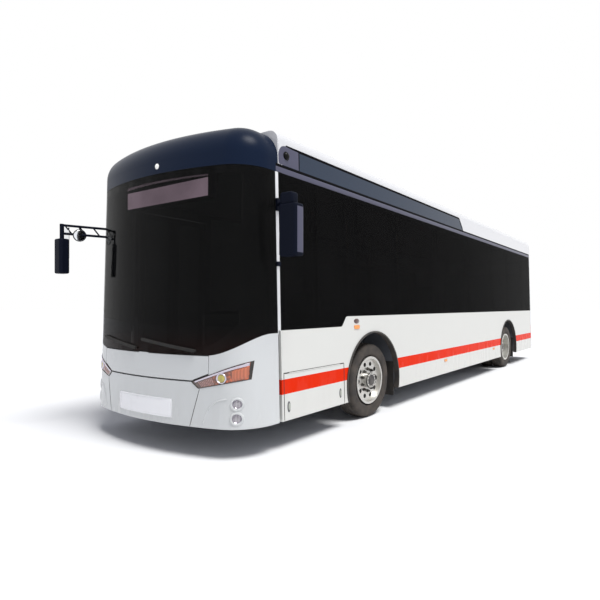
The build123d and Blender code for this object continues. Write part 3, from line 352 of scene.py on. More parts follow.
@dataclass(frozen=True)
class Plastic(Finish):
    """Moulded plastic with a leathery grain, faintly worn in places."""

    grain: float = 260.0
    depth: float = 0.0003
    worn: Colour = (0.3, 0.3, 0.3)

    def paint(self, shader: Shader) -> None:
        """Base colour with pale wear and a cell-like moulded grain.

        Args:
            shader: the material to fill.
        """
        wear = shader.noise(scale=5.0, detail=5.0).ease(0.55, 0.85, 0.0, 0.25)
        shader.put(Base_Color=shader.blend(wear, self.colour, self.worn))
        shader.put(Roughness=wear * 0.4 + self.roughness)
        cells = shader.node("ShaderNodeTexVoronoi", {}, {"Vector": shader.place, "Scale": self.grain})
        shader.bump(cells, self.depth, strength=0.6)


@dataclass(frozen=True)
class Cloth(Finish):
    """Woven seat cover: two thread directions crossing at a fine pitch, with a sheen."""

    second: Colour = (0.1, 0.1, 0.12)
    weave_scale: float = 35.0

    def paint(self, shader: Shader) -> None:
        """Warp and weft as two wave patterns that colour and raise the cover.

        Args:
            shader: the material to fill.
        """
        waves = [shader.node("ShaderNodeTexWave", {"bands_direction": axis},
                             {"Vector": shader.place, "Scale": self.weave_scale, "Distortion": 0.4})
                 for axis in "XZ"]
        weave = waves[0] * waves[1]
        shader.put(Base_Color=shader.blend(weave, self.colour, self.second), Roughness=self.roughness)
        shader.put(Sheen_Weight=0.3)
        shader.bump(weave, distance=0.0008, strength=0.7)


@dataclass(frozen=True)
class Lens(Finish):
    """Lamp lens: glossy tinted plastic over fine upright flutes."""

    flute_scale: float = 15.0
    glow: float = 0.0

    def paint(self, shader: Shader) -> None:
        """Tint that deepens between the flutes, under a smooth coat.

        Args:
            shader: the material to fill.
        """
        wave = shader.node("ShaderNodeTexWave", {"bands_direction": "Y"},
                           {"Vector": shader.place, "Scale": self.flute_scale})
        colour = shader.blend(wave * 0.5, self.colour, tuple(0.45 * c for c in self.colour))
        shader.put(Base_Color=colour, Roughness=wave * 0.08 + self.roughness)
        shader.put(Coat_Weight=1.0, Coat_Roughness=0.02)
        shader.put(Emission_Color=colour, Emission_Strength=self.glow)
        shader.bump(wave, distance=0.0006, strength=0.4)


@dataclass(frozen=True)
class LampCluster(Finish):
    """Headlamp and fog lamp glass: brown to orange outwards in the headlamp, grey in the fog lamps."""

    outer: Colour = (0.72, 0.13, 0.03)
    fog: Colour = (0.22, 0.23, 0.24)
    fog_top: float = 0.58
    outer_run: Tuple[float, float] = (0.7, 1.15)
    cell_scale: float = 38.0
    cell_gap: Colour = (0.05, 0.035, 0.03)

    def paint(self, shader: Shader) -> None:
        """Tint by the distance from the centre line, broken up by reflector cells.

        Args:
            shader: the material to fill.
        """
        cells = shader.node("ShaderNodeTexVoronoi", {}, {"Vector": shader.place, "Scale": self.cell_scale})
        tint = shader.blend(abs(shader.y).ease(*self.outer_run), self.colour, self.outer)
        tint = shader.blend(shader.z < self.fog_top, tint, self.fog)
        shader.put(Base_Color=shader.blend(cells.ease(0.1, 0.7, 0.0, 0.75), tint, self.cell_gap))
        shader.put(Roughness=cells * 0.1 + self.roughness, Coat_Weight=1.0, Coat_Roughness=0.02)
        shader.bump(cells, distance=0.003, strength=0.5)


@dataclass(frozen=True)
class ScreenFrame(Finish):
    """Black screen surround whose rear strip is the white front pillar."""

    pillar: Colour = (0.80, 0.80, 0.81)
    pillar_front: float = 4.6455

    def paint(self, shader: Shader) -> None:
        """White behind the pillar's front edge, black ahead of it.

        Args:
            shader: the material to fill.
        """
        speck = shader.noise(scale=40.0, detail=3.0).ease(0.3, 0.8, 0.0, 0.06)
        strip = shader.x < self.pillar_front
        shader.put(Base_Color=shader.blend(strip * (1.0 - speck), self.colour, self.pillar))
        shader.put(Roughness=speck + self.roughness, Coat_Weight=0.6, Coat_Roughness=0.05)
        shader.ripple()


WHITE = GlossPaint("white_lacquer", (0.74, 0.74, 0.75), 0.22, coat=0.3, specular=0.3)
# A darker, cooler copy of the white lacquer for the bumper, hood, front corners and fog lips: painted shade
# on the front, which the sun does not face.
SHADED_FRONT_WHITE = GlossPaint("front_lacquer", (0.65, 0.665, 0.665), 0.22, coat=0.2, specular=0.3)
STRIPED = GlossPaint("striped_lacquer", (0.73, 0.73, 0.695), 0.25, film_share=0.08, coat=0.0, specular=0.03,
                     stripe=(0.78, 0.026, 0.002))
NAVY = GlossPaint("navy_lacquer", (0.007, 0.014, 0.034), 0.30, film_share=0.0, coat=0.0,
                  specular=0.06)
SMOKE_BLUE = GlossPaint("smoke_blue_lacquer", (0.022, 0.036, 0.064), 0.2, film_share=0.0, coat=0.1,
                        specular=0.2)
BLACK_FRAME = GlossPaint("black_frame", (0.005, 0.005, 0.005), 0.2, film_share=0.0, coat=0.04, specular=0.1)
SIDE_GLASS = TintedGlass("side_glass", (0.006, 0.006, 0.006), 0.04, clear=0.16, ior=1.035)
SCREEN_GLASS = TintedGlass("screen_glass", (0.006, 0.006, 0.006), 0.03, clear=0.22,
                           foot=(0.014, 0.008, 0.007))
CLEAR_LENS = Lens("clear_lens", (0.55, 0.52, 0.55), 0.08)
RED_LENS = Lens("red_lens", (0.55, 0.012, 0.01), 0.1)
AMBER_LENS = Lens("amber_lens", (0.9, 0.30, 0.02), 0.12)
BLACK_RUBBER = Rubber("black_rubber", (0.018, 0.018, 0.018), 0.62, dusty=0.25)
TYRE_RUBBER = Rubber("tyre_rubber", (0.016, 0.014, 0.013), 0.75, dusty=0.4)
POLISHED = Metal("polished_alloy", (0.60, 0.59, 0.56), 0.30, dull=0.15)
# A lighter, duller copy of the polished alloy for the rear rims: painted light in their deep dish, which
# lies in shade.
LIT_REAR_ALLOY = Metal("rear_alloy", (0.74, 0.73, 0.69), 0.38, film=(0.50, 0.49, 0.45), dull=0.6)
CHASSIS_IRON = Rubber("chassis_iron", (0.022, 0.022, 0.022), 0.55, dusty=0.6)
MOTOR_CAST = Metal("motor_casting", (0.45, 0.46, 0.47), 0.45, dull=0.5)
PACK_GREY = Plastic("pack_grey", (0.2, 0.21, 0.22), 0.5)
FLOOR_COVER = Plastic("floor_cover", (0.16, 0.17, 0.19), 0.6, grain=120.0)
LINING = Plastic("pale_lining", (0.55, 0.55, 0.53), 0.55)
DASH = Plastic("dash_moulding", (0.03, 0.03, 0.034), 0.5)
SEAT_BLUE = Plastic("seat_blue", (0.03, 0.065, 0.22), 0.4)
DRIVER_CLOTH = Cloth("driver_cloth", (0.025, 0.025, 0.03), 0.85)
POLE_YELLOW = GlossPaint("pole_yellow", (0.75, 0.45, 0.02), 0.3, film_share=0.0)
MIRROR_SHELL = GlossPaint("mirror_shell", (0.006, 0.008, 0.016), 0.45, film_share=0.0, coat=0.0,
                          specular=0.04)
PILLAR = ScreenFrame("screen_frame", (0.010, 0.011, 0.012), 0.2)
LAMP_GLASS = LampCluster("lamp_cluster", (0.20, 0.10, 0.07), 0.12)
WIPER_BLACK = Rubber("wiper_black", (0.006, 0.006, 0.006), 0.8, dusty=0.05)
BROW = Metal("lamp_brow", (0.62, 0.58, 0.66), 0.12, dull=0.1)
ROSE_LENS = Lens("rose_lens", (0.42, 0.22, 0.20), 0.12)
TURN_LENS = Lens("turn_lens", (0.55, 0.14, 0.06), 0.1, glow=0.06)
PROJECTOR = Lens("projector_glass", (0.60, 0.52, 0.10), 0.05, flute_scale=5.0)
NUT_BLACK = Metal("nut_black", (0.03, 0.03, 0.03), 0.4, dull=0.5)
HUB_DARK = Metal("hub_dark", (0.05, 0.05, 0.055), 0.35, dull=0.5)
PLATE_WHITE = Plastic("plate_white", (0.92, 0.92, 0.94), 0.35, depth=0.0001)
SIGN_GLOW = Lens("sign_face", (0.30, 0.22, 0.27), 0.3, flute_scale=100.0, glow=12.0)
LILAC_TRIM = GlossPaint("lilac_trim", (0.085, 0.085, 0.130), 0.3, film_share=0.0, coat=0.1, specular=0.2)
# Near-black for the fairing's seam, and for the painted shadow lines along the fairing's edges and over the
# gutter rail.
SEAM_AND_SHADOW_BLACK = GlossPaint("seam_black", (0.004, 0.004, 0.005), 0.5, film_share=0.0, coat=0.0,
                        specular=0.03)
CATCH_GREY = Plastic("catch_grey", (0.10, 0.10, 0.105), 0.4)
GRIP_PALE = Plastic("grip_pale", (0.42, 0.44, 0.38), 0.4)
CAP_BROWN = Lens("cap_brown", (0.06, 0.012, 0.008), 0.15)
BULB_WHITE = Lens("bulb_white", (0.85, 0.85, 0.82), 0.1, flute_scale=50.0, glow=0.3)
MIRROR_GLASS = Metal("mirror_glass", (0.82, 0.84, 0.86), 0.02, dull=0.03)

NODE_FINISHES: Dict[Finish, Sequence[str]] = {
    WHITE: ("roof_panel", "rear_wall", "rear_hatch"),
    SHADED_FRONT_WHITE: ("front_corners", "bumper", "hood"),
    STRIPED: ("left_side", "right_side", "left_flap"),
    NAVY: ("front_dome",),
    SMOKE_BLUE: ("roof_fairings",),
    BLACK_FRAME: ("window_frames", "front_door_fore", "front_door_aft",
                  "middle_door_fore", "middle_door_aft"),
    SIDE_GLASS: ("side_glass", "rear_glass", "front_door_fore_glass", "front_door_aft_glass",
                 "middle_door_fore_glass", "middle_door_aft_glass"),
    SCREEN_GLASS: ("windscreen",),
    LAMP_GLASS: ("front_lamps",),
    PILLAR: ("front_frame",),
    RED_LENS: ("tail_lamps",),
    AMBER_LENS: ("side_markers",),
    BLACK_RUBBER: ("arch_lips", "mudflaps"),
    WIPER_BLACK: ("wipers",),
    TYRE_RUBBER: ("front_tyre_left", "front_tyre_right", "rear_tyres_left", "rear_tyres_right"),
    POLISHED: ("front_rim_left", "front_rim_right"),
    LIT_REAR_ALLOY: ("rear_rims_left", "rear_rims_right"),
    CHASSIS_IRON: ("front_axle", "rear_axle", "knuckle_left", "knuckle_right", "chassis_rails",
                   "towing_eyes"),
    MOTOR_CAST: ("traction_motor",),
    PACK_GREY: ("battery_packs",),
    FLOOR_COVER: ("floor", "wheel_boxes"),
    LINING: ("ceiling",),
    DASH: ("dashboard", "steering_wheel", "sign_box"),
    SEAT_BLUE: ("passenger_seats",),
    DRIVER_CLOTH: ("driver_seat",),
    POLE_YELLOW: ("grab_poles",),
    MIRROR_SHELL: ("mirrors",),
}


def dress(thing: bpy.types.Object, finish: Finish) -> None:
    """Gives a whole object one finish."""
    thing.data.materials.clear()
    thing.data.materials.append(finish.material())


@dataclass
class Patch:
    """A grid of points whose columns run round, and whose rows do too where that is said."""

    points: np.ndarray
    round_rows: bool = False


def mesh_arrays(patch: Patch) -> Tuple[np.ndarray, np.ndarray]:
    """Vertices and four-sided faces of a grid: each face joins a point to its next row and column.

    Args:
        patch: the grid.

    Returns:
        Vertices as an (n, 3) array and faces as an (m, 4) array of indices.
    """
    rows, cols = patch.points.shape[:2]
    index = np.arange(rows * cols).reshape(rows, cols)
    if patch.round_rows:
        index = np.vstack([index, index[:1]])
    index = np.hstack([index, index[:, :1]])
    faces = np.stack([index[:-1, :-1], index[1:, :-1], index[1:, 1:], index[:-1, 1:]], axis=-1)
    return patch.points.reshape(-1, 3), faces.reshape(-1, 4)


def add_piece(name: str, patches: Sequence[Patch], finish: Finish, body: str,
              replaced: Sequence[str] = (), smooth: bool = True) -> bpy.types.Object:
    """Joins closed grids into one piece, welds their poles and puts it on a body.

    Args:
        name: the piece's name.
        patches: closed grids.
        finish: its finish.
        body: the body that it rides on.
        replaced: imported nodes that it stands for.
        smooth: whether its faces are shaded as one curve.

    Returns:
        The new object.
    """
    arrays = [mesh_arrays(patch) for patch in patches]
    starts = np.cumsum([0] + [len(points) for points, _ in arrays[:-1]])
    points = np.concatenate([points for points, _ in arrays])
    faces = np.concatenate([faces + start for (_, faces), start in zip(arrays, starts)])
    mesh = bpy.data.meshes.new(name)
    mesh.vertices.add(len(points))
    mesh.vertices.foreach_set("co", points.astype(np.float32).ravel())
    mesh.loops.add(faces.size)
    mesh.loops.foreach_set("vertex_index", faces.astype(np.int32).ravel())
    mesh.polygons.add(len(faces))
    mesh.polygons.foreach_set("loop_start", np.arange(0, faces.size, 4, dtype=np.int32))
    mesh.update(calc_edges=True)
    shell = bmesh.new()
    shell.from_mesh(mesh)
    bmesh.ops.remove_doubles(shell, verts=shell.verts, dist=WELD)
    bmesh.ops.dissolve_degenerate(shell, edges=shell.edges, dist=WELD / 10)
    bmesh.ops.recalc_face_normals(shell, faces=shell.faces)
    shell.to_mesh(mesh)
    shell.free()
    mesh.polygons.foreach_set("use_smooth", np.full(len(mesh.polygons), smooth))
    if smooth:
        mesh.set_sharp_from_angle(angle=math.radians(SHARP_DEG))
    piece = bpy.data.objects.new(name, mesh)
    bpy.context.scene.collection.objects.link(piece)
    dress(piece, finish)
    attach(piece, body)
    if replaced:
        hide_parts(*replaced)
    LOG.info("built %s with %d faces on %s", name, len(mesh.polygons), body)
    return piece


def revolved(profile: Outline, centre: Sequence[float], axis: Sequence[float], steps: int = 48,
             turn: float = 0.0) -> Patch:
    """Turns a profile about an axis.

    A point of the profile at radius r and offset h goes to centre + h * axis + r * (cos a, sin a)
    in the plane across the axis, for evenly spaced angles a.

    Args:
        profile: (n, 2) radii and offsets; it starts and ends on the axis where the shape is closed.
        centre: a point on the axis.
        axis: its direction.
        steps: how many angles.
        turn: the first angle.

    Returns:
        The grid, round in its columns.
    """
    along = np.array(axis, float) / np.linalg.norm(axis)
    first = np.cross(along, UP if abs(along[2]) < 0.9 else (1.0, 0.0, 0.0))
    first /= np.linalg.norm(first)
    second = np.cross(along, first)
    angle = turn + np.linspace(0, 2 * math.pi, steps, endpoint=False)
    ring = np.cos(angle)[:, None] * first + np.sin(angle)[:, None] * second
    radius, offset = np.array(profile, float).T
    return Patch(np.array(centre, float) + offset[:, None, None] * along + radius[:, None, None] * ring)


def dome_profile(radius: float, rise: float, base: float, collar: Tuple[float, float],
                 steps: int = 8, back: float = 0.002) -> np.ndarray:
    """Profile of a domed lens: a quarter ellipse from crown to rim, then a collar and a flat back.

    For angles a from 90 degrees to 0, a point's radius is radius * cos a and its offset is
    base + rise * sin a.

    Args:
        radius: the dome's radius.
        rise: its height.
        base: the offset of its rim.
        collar: radius and offset of the collar's top edge.
        steps: points on the dome.
        back: how far the back lies below the surface.

    Returns:
        Radii and offsets as an (n, 2) array.
    """
    angle = np.linspace(math.pi / 2, 0, steps)
    dome = np.stack([radius * np.cos(angle), base + rise * np.sin(angle)], axis=-1)
    return np.vstack([dome, [collar, (collar[0], -back), (0.0, -back)]])


def quad(corners: Outline) -> Shape:
    """A four-cornered outline: the corners blended, each weighted by s or 1 - s times t or 1 - t.

    Args:
        corners: four points in a surface's two coordinates, in order round the outline.

    Returns:
        The shape over s and t.
    """
    def shape(s: Values, t: Values) -> Tuple[Values, Values]:
        """The two coordinates at s and t.

        Args:
            s: share of the way along, from 0 to 1.
            t: share of the way across, from 0 to 1.

        Returns:
            The first and the second coordinate.
        """
        weights = ((1 - s) * (1 - t), s * (1 - t), s * t, (1 - s) * t)
        return tuple(sum(weight * corner[axis] for weight, corner in zip(weights, corners))
                     for axis in (0, 1))

    return shape


def oblong(a0: float, a1: float, b0: float, b1: float) -> Shape:
    """A rectangle in a surface's two coordinates."""
    return quad([(a0, b0), (a1, b0), (a1, b1), (a0, b1)])


def oval(a0: float, a1: float, b0: float, b1: float) -> Shape:
    """An ellipse in a surface's two coordinates.

    With p and q as s and t stretched to -1 to 1, the square goes to the disc p * sqrt(1 - q^2 / 2) and
    q * sqrt(1 - p^2 / 2), which is then scaled to the two spans.

    Args:
        a0: start of the first coordinate's span.
        a1: its end.
        b0: start of the second coordinate's span.
        b1: its end.

    Returns:
        The shape over s and t.
    """
    def shape(s: Values, t: Values) -> Tuple[Values, Values]:
        """The two coordinates at s and t.

        Args:
            s: share of the way along, from 0 to 1.
            t: share of the way across, from 0 to 1.

        Returns:
            The first and the second coordinate.
        """
        p, q = 2 * s - 1, 2 * t - 1
        return ((a0 + a1) / 2 + (a1 - a0) / 2 * p * np.sqrt(1 - q**2 / 2),
                (b0 + b1) / 2 + (b1 - b0) / 2 * q * np.sqrt(1 - p**2 / 2))

    return shape


def nook(corner: Tuple[float, float], reach: float) -> Shape:
    """What a rounded corner cuts off: between a quarter arc over s and the square corner over t.

    The arc's point at angle s * 90 degrees is corner - reach + reach * (cos, sin), and t runs from it
    straight to the corner.

    Args:
        corner: the square corner.
        reach: the arc's radius.

    Returns:
        The shape over s and t.
    """
    def shape(s: Values, t: Values) -> Tuple[Values, Values]:
        """The two coordinates at s and t.

        Args:
            s: share of the way along, from 0 to 1.
            t: share of the way across, from 0 to 1.

        Returns:
            The first and the second coordinate.
        """
        turn = s * math.pi / 2
        arc = (corner[0] - reach * (1 - np.cos(turn)), corner[1] - reach * (1 - np.sin(turn)))
        return tuple(arc[axis] + t * (corner[axis] - arc[axis]) for axis in (0, 1))

    return shape


def pillow(place: Surface, shape: Shape, height: float, sink: float = 0.002,
           steps: Tuple[int, int] = (24, 10), edge: float = 8.0) -> Patch:
    """A low closed pad on a surface.

    The shape maps s and t from 0 to 1 to a place on the surface. The outer sheet stands proud by
    height * (1 - |2s - 1|^edge) * (1 - |2t - 1|^edge), and the inner one lies below the surface by the
    sink times the same hump, so both meet all round.

    Args:
        place: gives a point of the surface for two coordinates and a height above it.
        shape: the pad's outline in those coordinates.
        height: how far its middle stands proud.
        sink: how far its back lies below the surface.
        steps: points along s and across t.
        edge: how square its rim is.

    Returns:
        The grid, round in its columns.
    """
    s, t = np.meshgrid(np.linspace(0, 1, steps[0]), np.linspace(0, 1, steps[1]), indexing="ij")
    a, b = shape(s, t)
    hump = (1 - np.abs(2 * s - 1) ** edge) * (1 - np.abs(2 * t - 1) ** edge)
    outer = place(a, b, height * hump)
    inner = place(a, b, -sink * hump)
    return Patch(np.concatenate([outer, inner[:, ::-1][:, 1:-1]], axis=1))


def line_pads(place: Surface, points: Outline, width: float, height: float, steps: int = 24) -> List[Patch]:
    """A thin line on a surface: one narrow four-cornered pad between each two points.

    Args:
        place: gives a point of the surface for two coordinates and a height above it.
        points: the line's corners in those coordinates.
        width: the line's width.
        height: how far it stands proud.
        steps: points along each pad.

    Returns:
        The pads.
    """
    pads = []
    for start, end in zip(np.array(points[:-1], float), np.array(points[1:], float)):
        across = np.array((start[1] - end[1], end[0] - start[0]))
        across *= width / 2 / np.linalg.norm(across)
        corners = (start - across, end - across, end + across, start + across)
        pads.append(pillow(place, quad(corners), height, sink=SHALLOW, steps=(steps, 6), edge=6.0))
    return pads


def signed_power(value: np.ndarray, power: float) -> np.ndarray:
    """A power of each value's size, with its sign kept."""
    return np.sign(value) * np.abs(value) ** power


def squared_ball(power: float, rows: int, cols: int) -> np.ndarray:
    """A ball of half width one, pressed towards a cube.

    At height angle u and turning angle a its three parts are cos u * cos a, cos u * sin a and sin u, with
    each sine and cosine raised to the power and its sign kept.

    Args:
        power: one for a ball, towards nought for a cube.
        rows: height angles from pole to pole.
        cols: turning angles.

    Returns:
        A (rows, cols, 3) array.
    """
    up, turn = np.meshgrid(np.linspace(-math.pi / 2, math.pi / 2, rows),
                           np.linspace(0, 2 * math.pi, cols, endpoint=False), indexing="ij")
    level, rise = signed_power(np.cos(up), power), signed_power(np.sin(up), power)
    ahead, aside = signed_power(np.cos(turn), power), signed_power(np.sin(turn), power)
    return np.stack([level * ahead, level * aside, rise], axis=-1)


def rounded_block(centre: Sequence[float], size: Sequence[float], square: float = 0.35) -> Patch:
    """A block with round edges: a squared ball scaled to half the block's size."""
    return Patch(np.array(centre) + squared_ball(square, rows=25, cols=48) * np.array(size) / 2)


def tube(path: np.ndarray, radius: float, steps: int = 12) -> Patch:
    """A round bar with closed ends along a path: rings of one radius square to the path at each point.

    Args:
        path: (n, 3) points.
        radius: the bar's radius.
        steps: points round it.

    Returns:
        The grid, round in its columns.
    """
    ahead = np.gradient(path, axis=0)
    ahead /= np.linalg.norm(ahead, axis=1, keepdims=True)
    guide = UP if np.abs(ahead[:, 2]).max() < 0.9 else np.array((1.0, 0.0, 0.0))
    first = np.cross(ahead, guide)
    first /= np.linalg.norm(first, axis=1, keepdims=True)
    second = np.cross(ahead, first)
    angle = np.linspace(0, 2 * math.pi, steps, endpoint=False)[None, :, None]
    rings = path[:, None] + radius * (np.cos(angle) * first[:, None] + np.sin(angle) * second[:, None])
    ends = [np.repeat(path[end][None, None], steps, axis=1) for end in (0, -1)]
    return Patch(np.concatenate([ends[0], rings, ends[1]]))


def joint_place(name: str) -> np.ndarray:
    """The point that a joint turns about, at rest."""
    return np.array(next(joint["pos_m"] for joint in frame["joints"] if joint["name"] == name), float)


@dataclass(frozen=True)
class Skin:
    """The body's outer surface: leaning walls round a bowed front with rounded corners."""

    length: float = 10.49
    width: float = 2.5
    skirt: float = 0.29
    lean_deg: float = 1.4
    bow: float = 3.6
    corner: float = 0.4

    def lean(self, z: Values) -> Values:
        """How far the walls have come in at a height."""
        return (z - self.skirt) * math.tan(math.radians(self.lean_deg))

    def front(self, y: Values, z: Values, proud: Values) -> np.ndarray:
        """A place on the front: on the bow's arc in the middle and on a corner's arc beyond it.

        Args:
            y: distance from the centre line.
            z: height.
            proud: distance out of the surface.

        Returns:
            One place, or an array of places.
        """
        inset = self.lean(z) - proud
        bow_x = self.length / 2 - self.bow
        corner_y = self.width / 2 - self.corner
        corner_x = bow_x + math.sqrt((self.bow - self.corner) ** 2 - corner_y**2)
        meet = (self.bow - inset) * corner_y / (self.bow - self.corner)
        middle = bow_x + np.sqrt((self.bow - inset) ** 2 - y**2)
        rest = np.clip((self.corner - inset) ** 2 - (np.abs(y) - corner_y) ** 2, 0.0, None)
        x = np.where(np.abs(y) < meet, middle, corner_x + np.sqrt(rest))
        return np.stack([x, y, z], axis=-1)

    def front_normal(self, y: float, z: float, proud: float) -> np.ndarray:
        """The level direction out of the front: across the way from a place to one 10 mm beside it."""
        aside = self.front(y + 0.01, z, proud) - self.front(y, z, proud)
        return np.cross(aside, UP)

    def left(self, x: Values, z: Values, proud: Values) -> np.ndarray:
        """A place on the driver's side."""
        return np.stack([x, self.width / 2 - self.lean(z) + proud, z], axis=-1)

    def right(self, x: Values, z: Values, proud: Values) -> np.ndarray:
        """A place on the kerb side."""
        return self.left(x, z, proud) * (1.0, -1.0, 1.0)

    def rear(self, y: Values, z: Values, proud: Values) -> np.ndarray:
        """A place on the flat of the rear."""
        return np.stack([-self.length / 2 + self.lean(z) - proud, y, z], axis=-1)

    def side(self, side: Side) -> Surface:
        """The surface of one side."""
        return self.left if side is Side.LEFT else self.right


@dataclass
class Wheels:
    """Tyres with cut tread, wheel nuts and dark hub caps on all four corners."""

    tyre_radius: float = 0.464
    bead_radius: float = 0.299
    half_width: float = 0.1275
    groove: float = 0.012
    groove_width: float = 0.007
    rib_lines: Tuple[float, ...] = (-0.058, -0.021, 0.021, 0.058)
    rib_wave: float = 0.0035
    wall_rings: Tuple[float, float] = (0.330, 0.408)
    wall_ring_height: float = 0.0012
    wall_ring_width: float = 0.004
    wall_share: float = 0.4
    wall_power: float = 0.62
    crown_power: float = 0.5
    crown_depth: float = 0.016
    crown_blend: float = 0.010
    groove_edge: float = 1.6
    block_lean: float = 30.0
    block_level: float = 0.55
    block_edge: float = 4.0
    sipes: int = 72
    around: int = 288
    across: int = 112
    twin_pitch: float = 0.290
    front_face: float = 0.080
    rear_face: float = -0.132
    front_hub: float = 0.125
    rear_hub: float = 0.040
    nut_count: int = 10
    nut_circle: float = 0.138
    nut: Outline = ((0.0, -0.004), (0.022, -0.004), (0.022, 0.006), (0.0165, 0.006), (0.0165, 0.024),
                    (0.011, 0.028), (0.009, 0.040), (0.0, 0.041))
    cap: Outline = ((0.0, -0.004), (0.092, -0.004), (0.098, -0.002), (0.098, 0.004), (0.094, 0.008),
                    (0.072, 0.010), (0.070, 0.016), (0.052, 0.0185), (0.050, 0.021), (0.030, 0.0225),
                    (0.0, 0.023))
    bolt_count: int = 12
    bolt_circle: float = 0.083
    bolt_seat: float = 0.008
    bolt_turn: float = 0.13
    bolt: Outline = ((0.0, 0.0), (0.0075, 0.0), (0.0075, 0.008), (0.0, 0.009))

    def build(self) -> None:
        """Builds every wheel's pieces on its own body."""
        for side in Side:
            name = side.name.lower()
            out = np.array((0.0, side.value, 0.0))
            front = joint_place(f"spin_front_{name}")
            rear = joint_place(f"spin_rear_{name}")
            add_piece(f"tread_front_{name}", [self.tyre(front, out)], TYRE_RUBBER, f"wheel_front_{name}",
                      (f"front_tyre_{name}",))
            twins = [self.tyre(rear + out * shift * self.twin_pitch, out) for shift in (0.0, -1.0)]
            add_piece(f"tread_rear_{name}", twins, TYRE_RUBBER, f"wheel_rear_{name}",
                      (f"rear_tyres_{name}",))
            self.dress_wheel(f"front_{name}", front, out, self.front_face, self.front_hub)
            self.dress_wheel(f"rear_{name}", rear, out, self.rear_face, self.rear_hub)

    def tyre(self, centre: np.ndarray, out: np.ndarray) -> Patch:
        """One tyre: a squared-off oval section turned about the axle, with tread cut into its crown.

        Round the section by angle p, offset = half width * sign(cos p) |cos p|^wall power and radius =
        middle radius + half height * sign(sin p) |sin p|^crown power. On the crown the radius loses the
        groove depth near each rib line and, on the shoulders, wherever a wave of angle and offset is high.
        Two low rings stand on the walls.

        Args:
            centre: the tyre's middle.
            out: direction away from the bus.

        Returns:
            The grid, round in both directions.
        """
        p, turn = np.meshgrid(np.linspace(0, 2 * math.pi, self.across, endpoint=False),
                              np.linspace(0, 2 * math.pi, self.around, endpoint=False), indexing="ij")
        middle = (self.tyre_radius + self.bead_radius) / 2
        height = (self.tyre_radius - self.bead_radius) / 2
        offset = self.half_width * signed_power(np.cos(p), self.wall_power)
        radius = middle + height * signed_power(np.sin(p), self.crown_power)
        crown = np.clip((radius - self.tyre_radius + self.crown_depth) / self.crown_blend, 0, 1)
        ribs = np.zeros_like(p)
        for line in self.rib_lines:
            wavy = line + self.rib_wave * np.sin(turn * self.sipes / 2)
            depth = np.clip(self.groove_edge - np.abs(offset - wavy) / self.groove_width, 0, 1)
            ribs = np.maximum(ribs, depth)
        wave = np.sin(self.sipes * turn + self.block_lean * offset)
        shoulder = np.abs(offset) > abs(self.rib_lines[0])
        blocks = np.clip((wave - self.block_level) * self.block_edge, 0, 1) * shoulder
        radius = radius - self.groove * crown * np.maximum(ribs, blocks)
        rings = sum(np.exp(-(((radius - place) / self.wall_ring_width) ** 2)) for place in self.wall_rings)
        wall = np.sign(offset) * (np.abs(np.cos(p)) > self.wall_share)
        offset = offset + self.wall_ring_height * rings * wall
        spot = np.stack([radius * np.cos(turn), np.zeros_like(p), radius * np.sin(turn)], axis=-1)
        return Patch(centre + spot + offset[..., None] * out, round_rows=True)

    def dress_wheel(self, name: str, centre: np.ndarray, out: np.ndarray, face: float, hub: float) -> None:
        """Nuts round the disc, and a dark hub cap with its own ring of small bolts.

        Args:
            name: end and side of the wheel.
            centre: the wheel's middle.
            out: direction away from the bus.
            face: offset of the disc's outer face.
            hub: offset of the hub's end.
        """
        angles = (np.arange(self.nut_count) + 0.5) * 2 * math.pi / self.nut_count
        disc = centre + out * face
        nuts = [revolved(self.nut, disc + self.nut_circle * self.spoke(angle), out, steps=6, turn=angle)
                for angle in angles]
        add_piece(f"nuts_{name}", nuts, NUT_BLACK, f"wheel_{name}", smooth=False)
        seat = centre + out * (hub + self.bolt_seat)
        angles = np.linspace(0, 2 * math.pi, self.bolt_count, endpoint=False) + self.bolt_turn
        bolts = [revolved(self.bolt, seat + self.bolt_circle * self.spoke(angle), out, steps=6)
                 for angle in angles]
        add_piece(f"hub_cap_{name}", [revolved(self.cap, centre + out * hub, out)] + bolts, HUB_DARK,
                  f"wheel_{name}")

    @staticmethod
    def spoke(angle: float) -> np.ndarray:
        """The direction across the axle at an angle."""
        return np.array((math.cos(angle), 0.0, math.sin(angle)))


